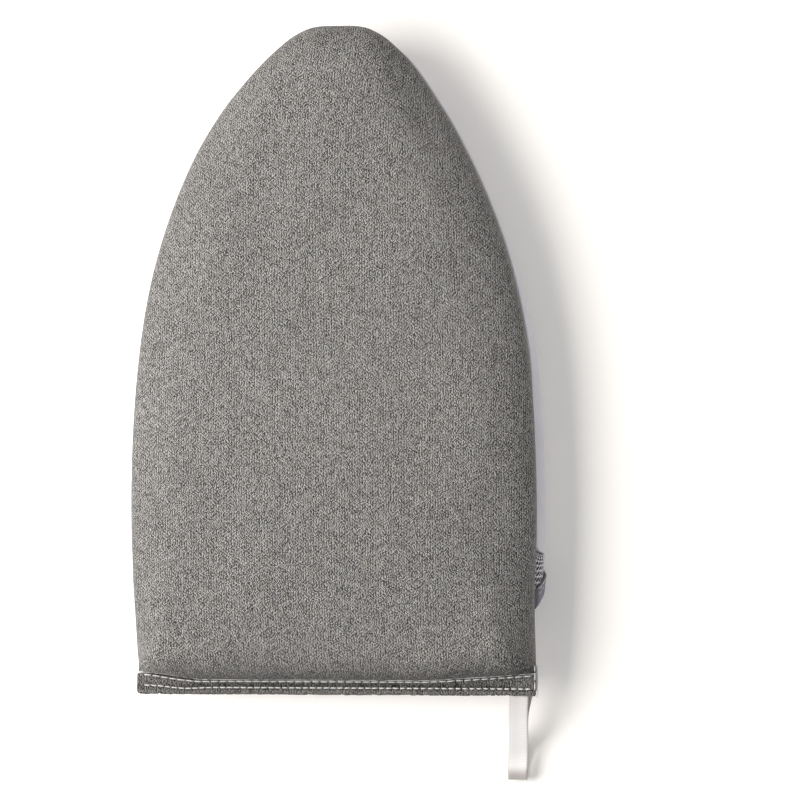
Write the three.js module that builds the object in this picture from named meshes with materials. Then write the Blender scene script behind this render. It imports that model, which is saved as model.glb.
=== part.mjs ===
// Ironing glove: a padded hand shield worn while steaming or pressing clothes on a hanger.
// It lies on its back as on a table: the padded front faces +Z, the tip points along +Y, and the
// pocket for the hand is underneath. Lengths are in millimetres. A rise is a distance along the
// glove from the bottom edge of its hem towards the tip, and a level is a height above the table.

import * as THREE from "three";
import { mergeVertices } from "three/addons/utils/BufferGeometryUtils.js";

// Overall sizes
const GLOVE_LENGTH = 250.3;
const GLOVE_WIDTH = 153;
const POCKET_DEPTH = 19;
const PAD_THICKNESS = 21;
const LAYER_GAP = 0.3;
const CURVED_LAYER_GAP = 0.5;
const WELD_SHARE = 0.001;

// One side of the outline from hem to tip: rise as a share of the length, then half width as a
// share of half the glove's width
const SIDE_OUTLINE_SHARES = [
  [0, 0.98],
  [0.128, 0.986],
  [0.26, 1],
  [0.392, 0.991],
  [0.52, 0.957],
  [0.64, 0.88],
  [0.752, 0.754],
  [0.848, 0.597],
  [0.928, 0.412],
  [0.974, 0.265],
  [0.994, 0.168],
  [1, 0.095],
  [1, 0],
];
const SIDE_STEPS = 24;
const SIDE_EASE = 1.75;
const END_STEPS = 12;

// Padded body: cloth thicknesses, the seam that is tucked under the edge, and the edge's roll
const COVER_THICKNESS = 1.2;
const BARRIER_THICKNESS = 0.5;
const FELT_THICKNESS = 3;
const PANEL_THICKNESS = 1;
const SEAM_TUCK = 0.9;
const FLANK_HEIGHT = 6;
const SIDE_ROLL_REACH = 24;
const END_ROLL_REACH = 15;
const CROWN_RISE = 2.2;
const CORNER_FADE = 34;
const TIP_FAN_REACH = 62;
const END_FAN_REACH = 60;
const ROLL_EXPONENT = 2.4;
const FLANK_STEPS = 2;
const COVER_ROLL_STEPS = 6;
const LAYER_ROLL_STEPS = 4;
const CROWN_SHARES = [0.5, 1];

// Hem along the bottom edge: the front cloth is folded under, and the back cloth lies behind it
const HEM_HEIGHT = 5.2;
const HEM_END_HEIGHT = 8;
const HEM_FLARE_LENGTH = 26;
const HEM_THICKNESS = 2;
const HEM_LEFT_OVERHANG = 1.4;
const HEM_RIGHT_OVERHANG = 0.15;
const BACK_HEM_LEFT_MARGIN = 0.3;
const BACK_HEM_OVERHANG = 2;
const BACK_HEM_LIFT = 0.5;
const HEM_SHOULDER_SHARE = 0.8;
const HEM_STEPS = 20;
const HEM_FOLD_STEPS = 4;

// Hand pocket: the cloth that hangs under the pad and is open towards the hem
const POCKET_THICKNESS = 1;
const LINING_THICKNESS = 0.8;
const MOUTH_RISE = 32;
const MOUTH_BOW = 20;
const MOUTH_BOW_FADE = 90;
const MOUTH_BOW_EXPONENT = 2.5;
const MOUTH_LIFT = 4;
const MOUTH_LIFT_REACH = 22;
const POCKET_FLAT_RISE = 150;
const POCKET_END_RISE = 243.5;
const POCKET_END_BOW = 4;
const POCKET_END_DEPTH = 1.3;
const SIDE_HANDLE = 9;
const END_HANDLE = 1.7;
const SIDE_HANDLE_FULL_RISE = 90;
const SIDE_HANDLE_NONE_RISE = 205;
const SIDE_HANDLE_DEPTH_SHARE = 0.5;
const CORNER_HANDLE_SHARE = 0.03;
const CORNER_ROUND_SHARE = 0.35;
const FLOOR_SHARE = 0.5;
const WALL_STEPS = 8;
const FLOOR_STEPS = 8;
const MOUTH_ROWS = 5;
const REACH_ROWS = 9;
const LINING_SHORT_ROWS = 2;

// Mouth of the pocket: folded binding, the elastic in its fold, and the mesh vents beside it
const BINDING_WIDTH = 7.5;
const BINDING_THICKNESS = 0.6;
const CHANNEL_WIDTH = 4.6;
const ELASTIC_WIDTH = 2;
const ELASTIC_THICKNESS = 0.8;
const ELASTIC_CLEARANCE = 1.1;
const ELASTIC_FOLD_CLEARANCE = 1.4;
const VENT_TOP_RISE = 56;
const VENT_FLARE = 13;
const VENT_REACH_SHARE = 0.17;
const VENT_THICKNESS = 0.8;
const VENT_COLUMNS = 3;

// Hanging loop: a satin ribbon folded in two, its ends sewn into the hem
const RIBBON_WIDTH = 7.5;
const RIBBON_THICKNESS = 0.55;
const RIBBON_ROOT_GAP = 0.4;
const RIBBON_ROOT_OFFSET = 1.5;
const LOOP_REACH = 32.3;
const LOOP_LEAN = 2.2;
const LOOP_END_HEIGHT = 6;
const LOOP_END_LEVEL = 0.4;
const LOOP_HEM_GAP = 0.4;
const LOOP_FROM_SIDE = 5.9;
const LOOP_ROOT_HANDLE = 11;
const LOOP_END_HANDLE = 15;
const LOOP_OPEN_SHARE = 0.78;
const LOOP_ASIDE_SHARE = 0.5;
const LOOP_LEG_STEPS = 14;
const LOOP_FOLD_STEPS = 6;

// Levels and places that follow from the sizes above
const SEAM_LEVEL = POCKET_DEPTH;
const PAD_FLOOR_LEVEL = SEAM_LEVEL + LAYER_GAP;
const PANEL_UNDER_LEVEL = SEAM_LEVEL - PANEL_THICKNESS;
const POCKET_RIM_LEVEL = PANEL_UNDER_LEVEL - LAYER_GAP;
const HALF_WIDTH = GLOVE_WIDTH / 2;
const HEM_CORNER_RISE = HEM_END_HEIGHT + LAYER_GAP;
const BARRIER_SINK = COVER_THICKNESS + CURVED_LAYER_GAP;
const FELT_SINK = BARRIER_SINK + BARRIER_THICKNESS + CURVED_LAYER_GAP;
const FOAM_SINK = FELT_SINK + FELT_THICKNESS + CURVED_LAYER_GAP;
const LINING_SINK = POCKET_THICKNESS + CURVED_LAYER_GAP;
const BINDING_OUTER_SINK = -CURVED_LAYER_GAP - BINDING_THICKNESS;
const BINDING_INNER_SINK = LINING_SINK + LINING_THICKNESS + CURVED_LAYER_GAP;
const WELD_DISTANCE = LAYER_GAP * WELD_SHARE;
const QUARTER_TURN = Math.PI / 2;
const HALVINGS = 40;

const lerp = THREE.MathUtils.lerp;

// A closed skin of triangles, gathered ring by ring
class Skin {
  constructor() {
    this.positions = [];
    this.faces = [];
  }

  addPoint(point) {
    this.positions.push(point.x, point.y, point.z);
    return this.positions.length / 3 - 1;
  }

  addRow(points) {
    return points.map((point) => this.addPoint(point));
  }

  // Two triangles between each pair of neighbours of two rows. A row that is a ring is closed, and
  // a turned bridge has the same triangles with their other face outwards.
  bridge(rowA, rowB, { closed = false, turned = false } = {}) {
    const count = rowA.length;
    const last = closed ? count : count - 1;
    for (let i = 0; i < last; i += 1) {
      const next = (i + 1) % count;
      const pair = [rowA[i], rowA[next], rowB[next], rowB[next], rowB[i], rowA[i]];
      this.faces.push(...(turned ? pair.reverse() : pair));
    }
  }

  bridgeAll(rows, options) {
    for (let i = 0; i + 1 < rows.length; i += 1) {
      this.bridge(rows[i], rows[i + 1], options);
    }
  }

  // Closes a ring with a fan of triangles round its middle
  cap(row, points) {
    const middle = new THREE.Vector3();
    points.forEach((point) => middle.add(point));
    middle.divideScalar(points.length);
    const centre = this.addPoint(middle);
    row.forEach((index, i) => {
      this.faces.push(centre, row[(i + 1) % row.length], index);
    });
  }

  // The welded geometry, without triangles that have no area, with its faces turned outwards
  geometry() {
    const raw = new THREE.BufferGeometry();
    raw.setAttribute("position", new THREE.Float32BufferAttribute(this.positions, 3));
    raw.setIndex(this.faces);
    const welded = mergeVertices(raw, WELD_DISTANCE);
    const index = Array.from(welded.index.array);
    const kept = [];
    for (let i = 0; i < index.length; i += 3) {
      const [a, b, c] = index.slice(i, i + 3);
      if (a !== b && b !== c && c !== a) {
        kept.push(a, b, c);
      }
    }
    if (signedVolume(welded.attributes.position, kept) < 0) {
      kept.reverse();
    }
    welded.setIndex(kept);
    const shaded = welded.toNonIndexed();
    shaded.computeVertexNormals();
    return shaded;
  }
}

function signedVolume(position, index) {
  const corners = [new THREE.Vector3(), new THREE.Vector3(), new THREE.Vector3()];
  let sum = 0;
  for (let i = 0; i < index.length; i += 3) {
    corners.forEach((corner, k) => corner.fromBufferAttribute(position, index[i + k]));
    sum += corners[0].dot(corners[1].cross(corners[2]));
  }
  return sum;
}

// A sheet of cloth with thickness, from two grids of points of the same shape
function sheetGeometry(outer, inner) {
  const skin = new Skin();
  const outerRows = outer.map((points) => skin.addRow(points));
  const innerRows = inner.map((points) => skin.addRow(points));
  skin.bridgeAll(outerRows);
  skin.bridgeAll(innerRows, { turned: true });
  skin.bridge(innerRows[0], outerRows[0]);
  skin.bridge(outerRows.at(-1), innerRows.at(-1));
  skin.bridge(outerRows.map((row) => row[0]), innerRows.map((row) => row[0]));
  skin.bridge(innerRows.map((row) => row.at(-1)), outerRows.map((row) => row.at(-1)));
  return skin.geometry();
}

// A solid swept through closed cross-sections, with both ends capped by a fan
function loftGeometry(sections) {
  const skin = new Skin();
  const rows = sections.map((points) => skin.addRow(points));
  skin.bridgeAll(rows, { closed: true });
  skin.cap(rows[0], sections[0]);
  skin.cap([...rows.at(-1)].reverse(), [...sections.at(-1)].reverse());
  return skin.geometry();
}

// A solid swept through sections of a folded strip. Each section has its outer face and, with as many
// points, its inner face, and both ends are closed between the two.
function foldedLoftGeometry(outer, inner) {
  const skin = new Skin();
  const outerRows = outer.map((points) => skin.addRow(points));
  const innerRows = inner.map((points) => skin.addRow(points));
  const rings = outerRows.map((row, i) => [...row, ...[...innerRows[i]].reverse()]);
  skin.bridgeAll(rings, { closed: true });
  skin.bridge(outerRows[0], innerRows[0], { turned: true });
  skin.bridge(outerRows.at(-1), innerRows.at(-1));
  return skin.geometry();
}

// Outline of the glove, seen from the front
const sideCurve = new THREE.SplineCurve(
  SIDE_OUTLINE_SHARES.map(
    ([rise, half]) => new THREE.Vector2(half * HALF_WIDTH, rise * GLOVE_LENGTH),
  ),
);

// Where along the side curve a rise is reached, by halving
function sideParameter(rise) {
  let low = 0;
  let high = 1;
  for (let i = 0; i < HALVINGS; i += 1) {
    const middle = (low + high) / 2;
    if (sideCurve.getPoint(middle).y < rise) {
      low = middle;
    } else {
      high = middle;
    }
  }
  return low;
}

function halfWidthAt(rise) {
  return sideCurve.getPoint(sideParameter(rise)).x;
}

// Places from start to end, closer together at both ends
function eased(start, end, steps) {
  const places = [];
  for (let i = 0; i <= steps; i += 1) {
    places.push(lerp(start, end, (1 - Math.cos((i / steps) * Math.PI)) / 2));
  }
  return places;
}

// Height of the hem across its width: low in the middle, flared at the side seams
function hemHeightAt(x) {
  const fromEnd = halfWidthAt(0) - Math.abs(x);
  const flare = THREE.MathUtils.smoothstep(HEM_FLARE_LENGTH - fromEnd, 0, HEM_FLARE_LENGTH);
  return lerp(HEM_HEIGHT, HEM_END_HEIGHT, flare);
}

// The pad's edge as a closed loop from the tip down the left side, along the hem and back up. Each
// point says how much it belongs to the hem end, where the pad tapers to the flat hem.
function edgeLoop() {
  const start = sideParameter(HEM_CORNER_RISE);
  const side = [];
  for (let i = 0; i <= SIDE_STEPS; i += 1) {
    const share = 1 - (1 - i / SIDE_STEPS) ** SIDE_EASE;
    const point = sideCurve.getPoint(lerp(1, start, share));
    const fade = THREE.MathUtils.smoothstep(
      CORNER_FADE - (point.y - HEM_CORNER_RISE), 0, CORNER_FADE,
    );
    side.push({ x: -point.x, rise: point.y, hemShare: fade });
  }
  const corner = side.at(-1);
  const end = eased(corner.x, -corner.x, END_STEPS).slice(1, -1).map((x) => {
    return { x, rise: hemHeightAt(x) + LAYER_GAP, hemShare: 1 };
  });
  const otherSide = side.slice(1).reverse().map((point) => ({ ...point, x: -point.x }));
  return [...side, ...end, ...otherSide];
}

const EDGE = edgeLoop();

// One ring of the pad's skin. Inset runs from the edge towards a spine down the middle.
function padRing(profile) {
  return EDGE.map((edge) => {
    const spineRise = THREE.MathUtils.clamp(edge.rise, END_FAN_REACH, GLOVE_LENGTH - TIP_FAN_REACH);
    const reach = Math.hypot(edge.x, spineRise - edge.rise);
    const { inset, level } = profile(edge, reach);
    const share = inset / reach;
    const crown = CROWN_RISE * (1 - (1 - share) ** 2);
    return new THREE.Vector3(
      lerp(edge.x, 0, share),
      lerp(edge.rise, spineRise, share),
      level + crown,
    );
  });
}

// The rings of a skin that lies a given distance under the outside of the cover: first the tucked
// flank up to the widest line, then the rolled edge, then the crown up to the spine
function padRings(sink, rollSteps) {
  const widestLevel = (edge) => {
    return lerp(SEAM_LEVEL + FLANK_HEIGHT, SEAM_LEVEL + HEM_THICKNESS, edge.hemShare);
  };
  const rollReach = (edge) => lerp(SIDE_ROLL_REACH, END_ROLL_REACH, edge.hemShare) - sink;
  const rollHeight = (edge) => {
    return SEAM_LEVEL + PAD_THICKNESS - CROWN_RISE - sink - widestLevel(edge);
  };
  const rings = [];
  for (let i = 0; i < FLANK_STEPS; i += 1) {
    const angle = (i / FLANK_STEPS) * QUARTER_TURN;
    rings.push(padRing((edge) => ({
      inset: sink + SEAM_TUCK * (1 - edge.hemShare) * (1 - Math.sin(angle)),
      level: lerp(widestLevel(edge), PAD_FLOOR_LEVEL, Math.cos(angle)),
    })));
  }
  for (let i = 0; i <= rollSteps; i += 1) {
    const angle = (i / rollSteps) * QUARTER_TURN;
    const power = 2 / ROLL_EXPONENT;
    rings.push(padRing((edge) => ({
      inset: sink + rollReach(edge) * (1 - Math.max(Math.cos(angle), 0) ** power),
      level: widestLevel(edge) + rollHeight(edge) * Math.sin(angle) ** power,
    })));
  }
  CROWN_SHARES.forEach((share) => {
    rings.push(padRing((edge, reach) => ({
      inset: lerp(sink + rollReach(edge), reach, share),
      level: widestLevel(edge) + rollHeight(edge),
    })));
  });
  return rings;
}

// A domed cloth layer of the pad, open underneath
function padLayer(sink, thickness, rollSteps) {
  const skin = new Skin();
  const outer = padRings(sink, rollSteps).map((points) => skin.addRow(points));
  const inner = padRings(sink + thickness, LAYER_ROLL_STEPS).map((points) => skin.addRow(points));
  skin.bridgeAll(outer, { closed: true });
  skin.bridgeAll(inner, { closed: true, turned: true });
  skin.bridge(inner[0], outer[0], { closed: true });
  return skin.geometry();
}

function frontCoverGeometry() {
  return padLayer(0, COVER_THICKNESS, COVER_ROLL_STEPS);
}

function heatBarrierGeometry() {
  return padLayer(BARRIER_SINK, BARRIER_THICKNESS, LAYER_ROLL_STEPS);
}

function feltLayerGeometry() {
  return padLayer(FELT_SINK, FELT_THICKNESS, LAYER_ROLL_STEPS);
}

// Sponge core with a flat underside
function foamPadGeometry() {
  const skin = new Skin();
  const rings = padRings(FOAM_SINK, LAYER_ROLL_STEPS);
  const rows = rings.map((points) => skin.addRow(points));
  skin.bridgeAll(rows, { closed: true });
  skin.cap(rows[0], rings[0]);
  return skin.geometry();
}

// Flat cloth that closes the back of the pad
function backPanelGeometry() {
  const outline = EDGE.map((edge) => {
    const tuck = SEAM_TUCK * (1 - edge.hemShare);
    const spineRise = THREE.MathUtils.clamp(edge.rise, END_FAN_REACH, GLOVE_LENGTH - TIP_FAN_REACH);
    const share = tuck / Math.hypot(edge.x, spineRise - edge.rise);
    return new THREE.Vector2(lerp(edge.x, 0, share), lerp(edge.rise, spineRise, share));
  });
  const geometry = new THREE.ExtrudeGeometry(new THREE.Shape(outline), {
    depth: PANEL_THICKNESS,
    bevelEnabled: false,
  });
  geometry.translate(0, 0, PANEL_UNDER_LEVEL);
  return geometry;
}

// A strip of folded cloth along the bottom edge, lofted from end to end
function hemGeometry(startX, endX, bottomRise, underLevel, thickness) {
  const round = thickness / 2;
  return loftGeometry(eased(startX, endX, HEM_STEPS).map((x) => {
    const top = hemHeightAt(x);
    const section = [
      [top, underLevel],
      [top, underLevel + thickness * HEM_SHOULDER_SHARE],
      [top - round / 2, underLevel + thickness],
    ];
    for (let k = 0; k <= HEM_FOLD_STEPS; k += 1) {
      const angle = QUARTER_TURN - (k / HEM_FOLD_STEPS) * Math.PI;
      section.push([
        bottomRise + round - round * Math.cos(angle),
        underLevel + round + round * Math.sin(angle),
      ]);
    }
    return section.map(([rise, level]) => new THREE.Vector3(x, rise, level));
  }));
}

function bottomHemGeometry() {
  const end = halfWidthAt(0);
  return hemGeometry(
    -end - HEM_LEFT_OVERHANG, end + HEM_RIGHT_OVERHANG, 0, PAD_FLOOR_LEVEL, HEM_THICKNESS,
  );
}

function backHemGeometry() {
  const end = halfWidthAt(0);
  return hemGeometry(
    -end + BACK_HEM_LEFT_MARGIN, end + BACK_HEM_OVERHANG, BACK_HEM_LIFT, PANEL_UNDER_LEVEL, PANEL_THICKNESS,
  );
}

// Depth of the pocket under its rim, for a row that meets the side seam at a rise. It is flat on
// the table for most of its length, closes towards the finger end and lifts a little at the mouth.
function pocketDepthAt(sideRise) {
  const along = THREE.MathUtils.clamp(
    (sideRise - POCKET_FLAT_RISE) / (POCKET_END_RISE - POCKET_FLAT_RISE), 0, 1,
  );
  const fromMouth = THREE.MathUtils.clamp((sideRise - MOUTH_RISE) / MOUTH_LIFT_REACH, 0, 1);
  const closed = lerp(POCKET_RIM_LEVEL, POCKET_END_DEPTH, along ** 2);
  return closed - MOUTH_LIFT * (1 - fromMouth) ** 2;
}

// A point of the pocket's outside. Across runs from -1 at the left seam under the glove to 1 at the
// right seam: the middle of that range is the floor of the pocket, the rest the bulging walls.
function pocketPoint(sideRise, across) {
  const half = halfWidthAt(sideRise) - SEAM_TUCK;
  const depth = pocketDepthAt(sideRise);
  const fullness = 1 - THREE.MathUtils.smoothstep(
    sideRise, SIDE_HANDLE_FULL_RISE, SIDE_HANDLE_NONE_RISE,
  );
  const handle = (lerp(END_HANDLE, SIDE_HANDLE, fullness) * depth) / POCKET_RIM_LEVEL;
  const floorHalf = half * (1 - CORNER_ROUND_SHARE);
  const distance = Math.abs(across);
  const section = new THREE.Vector2((floorHalf * distance) / FLOOR_SHARE, -depth);
  if (distance > FLOOR_SHARE) {
    const wall = new THREE.CubicBezierCurve(
      new THREE.Vector2(half, 0),
      new THREE.Vector2(half + handle, -depth * SIDE_HANDLE_DEPTH_SHARE),
      new THREE.Vector2(half * (1 - CORNER_HANDLE_SHARE), -depth),
      new THREE.Vector2(floorHalf, -depth),
    );
    section.copy(wall.getPoint(1 - wallShareAt(across)));
  }
  const mouthShare = 1 - THREE.MathUtils.smoothstep(
    sideRise, MOUTH_RISE, MOUTH_RISE + MOUTH_BOW_FADE,
  );
  const endShare = THREE.MathUtils.clamp(
    (sideRise - POCKET_FLAT_RISE) / (POCKET_END_RISE - POCKET_FLAT_RISE), 0, 1,
  );
  const mouthBow = MOUTH_BOW * mouthShare * (1 - distance ** MOUTH_BOW_EXPONENT);
  const endBow = POCKET_END_BOW * endShare ** 2 * (1 - (section.x / half) ** 2);
  return new THREE.Vector3(
    Math.sign(across) * section.x,
    sideRise + mouthBow + endBow,
    POCKET_RIM_LEVEL + section.y,
  );
}

// The same point moved inwards, square to the pocket's surface
function pocketLayerPoint(sideRise, across, sink) {
  const riseStep = LAYER_GAP;
  const acrossStep = LAYER_GAP / GLOVE_WIDTH;
  const high = Math.min(across + acrossStep, 1);
  const low = Math.max(across - acrossStep, -1);
  const alongWay = pocketPoint(sideRise + riseStep, across).sub(pocketPoint(sideRise - riseStep, across));
  const acrossWay = pocketPoint(sideRise, high).sub(pocketPoint(sideRise, low));
  const inward = acrossWay.cross(alongWay).normalize();
  const point = pocketPoint(sideRise, across).addScaledVector(inward, sink);
  point.z = Math.min(point.z, POCKET_RIM_LEVEL);
  return point;
}

// How far up the wall a place across the pocket is, from 0 on the floor to 1 at the seam
function wallShareAt(across) {
  return Math.max(Math.abs(across) - FLOOR_SHARE, 0) / (1 - FLOOR_SHARE);
}

// How far across the walls reach: beside the mouth the mesh vents take the last part
function wallEndAt(sideRise) {
  const open = THREE.MathUtils.smoothstep(VENT_TOP_RISE - sideRise, 0, VENT_FLARE);
  return 1 - VENT_REACH_SHARE * open;
}

// Places across the pocket, closer together in the walls than in the floor
function acrossPlaces() {
  const places = [];
  for (let i = 0; i < WALL_STEPS; i += 1) {
    places.push(lerp(-1, -FLOOR_SHARE, i / WALL_STEPS));
  }
  for (let i = 0; i <= FLOOR_STEPS; i += 1) {
    places.push(lerp(-FLOOR_SHARE, FLOOR_SHARE, i / FLOOR_STEPS));
  }
  for (let i = 1; i <= WALL_STEPS; i += 1) {
    places.push(lerp(FLOOR_SHARE, 1, i / WALL_STEPS));
  }
  return places;
}

// Rises of the pocket's rows: even steps beside the vents, then closer together towards the tip
function pocketRowRises() {
  const start = MOUTH_RISE + CHANNEL_WIDTH + LAYER_GAP;
  const rises = [];
  for (let i = 0; i < MOUTH_ROWS; i += 1) {
    rises.push(lerp(start, VENT_TOP_RISE, i / MOUTH_ROWS));
  }
  for (let i = 0; i <= REACH_ROWS; i += 1) {
    const share = Math.sin((i / REACH_ROWS) * QUARTER_TURN);
    rises.push(lerp(VENT_TOP_RISE, POCKET_END_RISE, share));
  }
  return rises;
}

// One layer of the pocket, from the binding to a row near the finger end
function pocketLayer(rowsLeftOut, sink, thickness) {
  const rises = pocketRowRises().slice(0, MOUTH_ROWS + REACH_ROWS + 1 - rowsLeftOut);
  const grid = (depth) => rises.map((sideRise) => {
    const ventShare = 1 - wallEndAt(sideRise);
    return acrossPlaces().map((place) => {
      const across = place - Math.sign(place) * ventShare * wallShareAt(place);
      return pocketLayerPoint(sideRise, across, depth);
    });
  });
  return sheetGeometry(grid(sink), grid(sink + thickness));
}

function handPocketGeometry() {
  return pocketLayer(0, 0, POCKET_THICKNESS);
}

function pocketLiningGeometry() {
  return pocketLayer(LINING_SHORT_ROWS, LINING_SINK, LINING_THICKNESS);
}

// A mesh vent between the side seam and the pocket's wall, next to the mouth
function meshVentGeometry(side) {
  const gapShare = LAYER_GAP / POCKET_DEPTH;
  const grid = (sink) => pocketRowRises().slice(0, MOUTH_ROWS).map((sideRise) => {
    const row = [];
    for (let i = 0; i <= VENT_COLUMNS; i += 1) {
      const across = lerp(wallEndAt(sideRise) + gapShare, 1, i / VENT_COLUMNS);
      row.push(pocketLayerPoint(sideRise, side * across, sink));
    }
    return row;
  });
  return sheetGeometry(grid(0), grid(VENT_THICKNESS));
}

// Tape folded over the mouth's edge: an outer leaf, the fold and an inner leaf. The fold's inner
// corners are given twice, as its outer face has more points there.
function mouthBindingGeometry() {
  const upper = MOUTH_RISE + BINDING_WIDTH;
  const middle = MOUTH_RISE + CHANNEL_WIDTH;
  const inside = MOUTH_RISE + BINDING_THICKNESS;
  const innerLeaf = BINDING_INNER_SINK + BINDING_THICKNESS;
  const outerFace = [
    [upper, BINDING_OUTER_SINK],
    [middle, BINDING_OUTER_SINK],
    [inside, BINDING_OUTER_SINK],
    [MOUTH_RISE, 0],
    [MOUTH_RISE, BINDING_INNER_SINK],
    [inside, innerLeaf],
    [middle, innerLeaf],
    [upper, innerLeaf],
  ];
  const innerFace = [
    [upper, BINDING_OUTER_SINK + BINDING_THICKNESS],
    [middle, BINDING_OUTER_SINK + BINDING_THICKNESS],
    [inside, BINDING_OUTER_SINK + BINDING_THICKNESS],
    [inside, BINDING_OUTER_SINK + BINDING_THICKNESS],
    [inside, BINDING_INNER_SINK],
    [inside, BINDING_INNER_SINK],
    [middle, BINDING_INNER_SINK],
    [upper, BINDING_INNER_SINK],
  ];
  const sections = (face) => acrossPlaces().map((across) => {
    return face.map(([sideRise, sink]) => pocketLayerPoint(sideRise, across, sink));
  });
  return foldedLoftGeometry(sections(outerFace), sections(innerFace));
}

// Flat elastic lying in the fold of the binding, a little short of its ends
function mouthElasticGeometry() {
  const low = MOUTH_RISE + BINDING_THICKNESS + ELASTIC_FOLD_CLEARANCE;
  const high = low + ELASTIC_WIDTH;
  const outer = BINDING_OUTER_SINK + BINDING_THICKNESS + ELASTIC_CLEARANCE;
  const inner = outer + ELASTIC_THICKNESS;
  const profile = [
    [low, outer],
    [high, outer],
    [high, inner],
    [low, inner],
  ];
  return loftGeometry(acrossPlaces().slice(1, -1).map((across) => {
    return profile.map(([sideRise, sink]) => pocketLayerPoint(sideRise, across, sink));
  }));
}

// Ribbon folded in two: one leg runs out over the table and leans a little to the left, the fold
// stands up as a drop, and the other leg runs back under the first, set aside at the hem
function hangingLoopGeometry() {
  const rootLevel = SEAM_LEVEL + LAYER_GAP / 2;
  const foldRadius = (LOOP_END_HEIGHT - RIBBON_THICKNESS) / 2;
  const foldLevel = LOOP_END_LEVEL + LOOP_END_HEIGHT / 2;
  const foldRise = -LOOP_REACH + LOOP_END_HEIGHT / 2;
  const rootHalf = (RIBBON_ROOT_GAP + RIBBON_THICKNESS) / 2;
  const middle = new THREE.CubicBezierCurve(
    new THREE.Vector2(-LOOP_HEM_GAP, rootLevel),
    new THREE.Vector2(-LOOP_ROOT_HANDLE, rootLevel),
    new THREE.Vector2(foldRise + LOOP_END_HANDLE, foldLevel),
    new THREE.Vector2(foldRise, foldLevel),
  );
  const path = [];
  const addLeg = (upper) => {
    for (let i = 0; i <= LOOP_LEG_STEPS; i += 1) {
      const share = upper ? i / LOOP_LEG_STEPS : 1 - i / LOOP_LEG_STEPS;
      const point = middle.getPoint(share);
      const way = middle.getTangent(share);
      const opening = THREE.MathUtils.smoothstep(share, 0, LOOP_OPEN_SHARE);
      const half = lerp(rootHalf, foldRadius, opening) * (upper ? 1 : -1);
      const offset = upper ? 0 : RIBBON_ROOT_OFFSET * Math.max(1 - share / LOOP_ASIDE_SHARE, 0) ** 2;
      path.push({
        aside: offset - LOOP_LEAN * share,
        place: new THREE.Vector2(point.x + way.y * half, point.y - way.x * half),
        out: new THREE.Vector2(way.y, -way.x).multiplyScalar(upper ? 1 : -1),
      });
    }
  };
  addLeg(true);
  for (let i = 1; i < LOOP_FOLD_STEPS; i += 1) {
    const angle = QUARTER_TURN + (i / LOOP_FOLD_STEPS) * Math.PI;
    const out = new THREE.Vector2(Math.cos(angle), Math.sin(angle));
    path.push({
      aside: -LOOP_LEAN,
      place: new THREE.Vector2(foldRise, foldLevel).addScaledVector(out, foldRadius),
      out,
    });
  }
  addLeg(false);
  const centre = halfWidthAt(0) - LOOP_FROM_SIDE;
  return loftGeometry(path.map(({ aside, place, out }) => {
    const outer = place.clone().addScaledVector(out, RIBBON_THICKNESS / 2);
    const inner = place.clone().addScaledVector(out, -RIBBON_THICKNESS / 2);
    const left = centre + aside - RIBBON_WIDTH / 2;
    const right = left + RIBBON_WIDTH;
    return [
      new THREE.Vector3(left, outer.x, outer.y),
      new THREE.Vector3(right, outer.x, outer.y),
      new THREE.Vector3(right, inner.x, inner.y),
      new THREE.Vector3(left, inner.x, inner.y),
    ];
  }));
}

// Finishes of the cloths
function cloth(color, roughness, metalness) {
  return new THREE.MeshStandardMaterial({ color, roughness, metalness });
}

const finishes = {
  heather: cloth(0x86837f, 0.9, 0),
  silverFilm: cloth(0xc9cbcd, 0.35, 0.7),
  felt: cloth(0xdedad2, 0.95, 0),
  sponge: cloth(0xe9e2c8, 0.95, 0),
  whiteKnit: cloth(0xe4e3e8, 0.85, 0),
  lining: cloth(0xd9d8de, 0.85, 0),
  mesh: cloth(0xd2d0d8, 0.8, 0),
  binding: cloth(0xcfcdd8, 0.8, 0),
  elastic: cloth(0xf2f2f0, 0.7, 0),
  satin: cloth(0xefeae6, 0.4, 0),
};

function piece(name, geometry, finish) {
  const mesh = new THREE.Mesh(geometry, finish);
  mesh.name = name;
  return mesh;
}

function pad() {
  const group = new THREE.Group();
  group.add(
    piece("front_cover", frontCoverGeometry(), finishes.heather),
    piece("heat_barrier", heatBarrierGeometry(), finishes.silverFilm),
    piece("felt_layer", feltLayerGeometry(), finishes.felt),
    piece("foam_pad", foamPadGeometry(), finishes.sponge),
    piece("back_panel", backPanelGeometry(), finishes.whiteKnit),
  );
  return group;
}

function hem() {
  const group = new THREE.Group();
  group.add(
    piece("bottom_hem", bottomHemGeometry(), finishes.heather),
    piece("back_hem", backHemGeometry(), finishes.whiteKnit),
  );
  return group;
}

function pocket() {
  const group = new THREE.Group();
  group.add(
    piece("hand_pocket", handPocketGeometry(), finishes.whiteKnit),
    piece("pocket_lining", pocketLiningGeometry(), finishes.lining),
    piece("mesh_vent_left", meshVentGeometry(-1), finishes.mesh),
    piece("mesh_vent_right", meshVentGeometry(1), finishes.mesh),
    piece("mouth_binding", mouthBindingGeometry(), finishes.binding),
    piece("mouth_elastic", mouthElasticGeometry(), finishes.elastic),
  );
  return group;
}

// The whole glove, with its origin on the table under the middle of glove and loop
const glove = new THREE.Group();
glove.add(pad(), hem(), pocket());
glove.add(piece("hanging_loop", hangingLoopGeometry(), finishes.satin));
glove.position.y = -(GLOVE_LENGTH - LOOP_REACH) / 2;

const part = new THREE.Group();
part.add(glove);

export default part;
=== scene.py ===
"""Looks of a padded ironing glove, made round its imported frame.

The glove lies on its back: the padded front faces +Z, the tip points along +Y, and the pocket for
the hand is underneath. Lengths are in metres, and MM turns a size in millimetres into metres. A rise
is a distance from the bottom edge of the hem towards the tip, and a level is a height over the table.
"""

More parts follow.
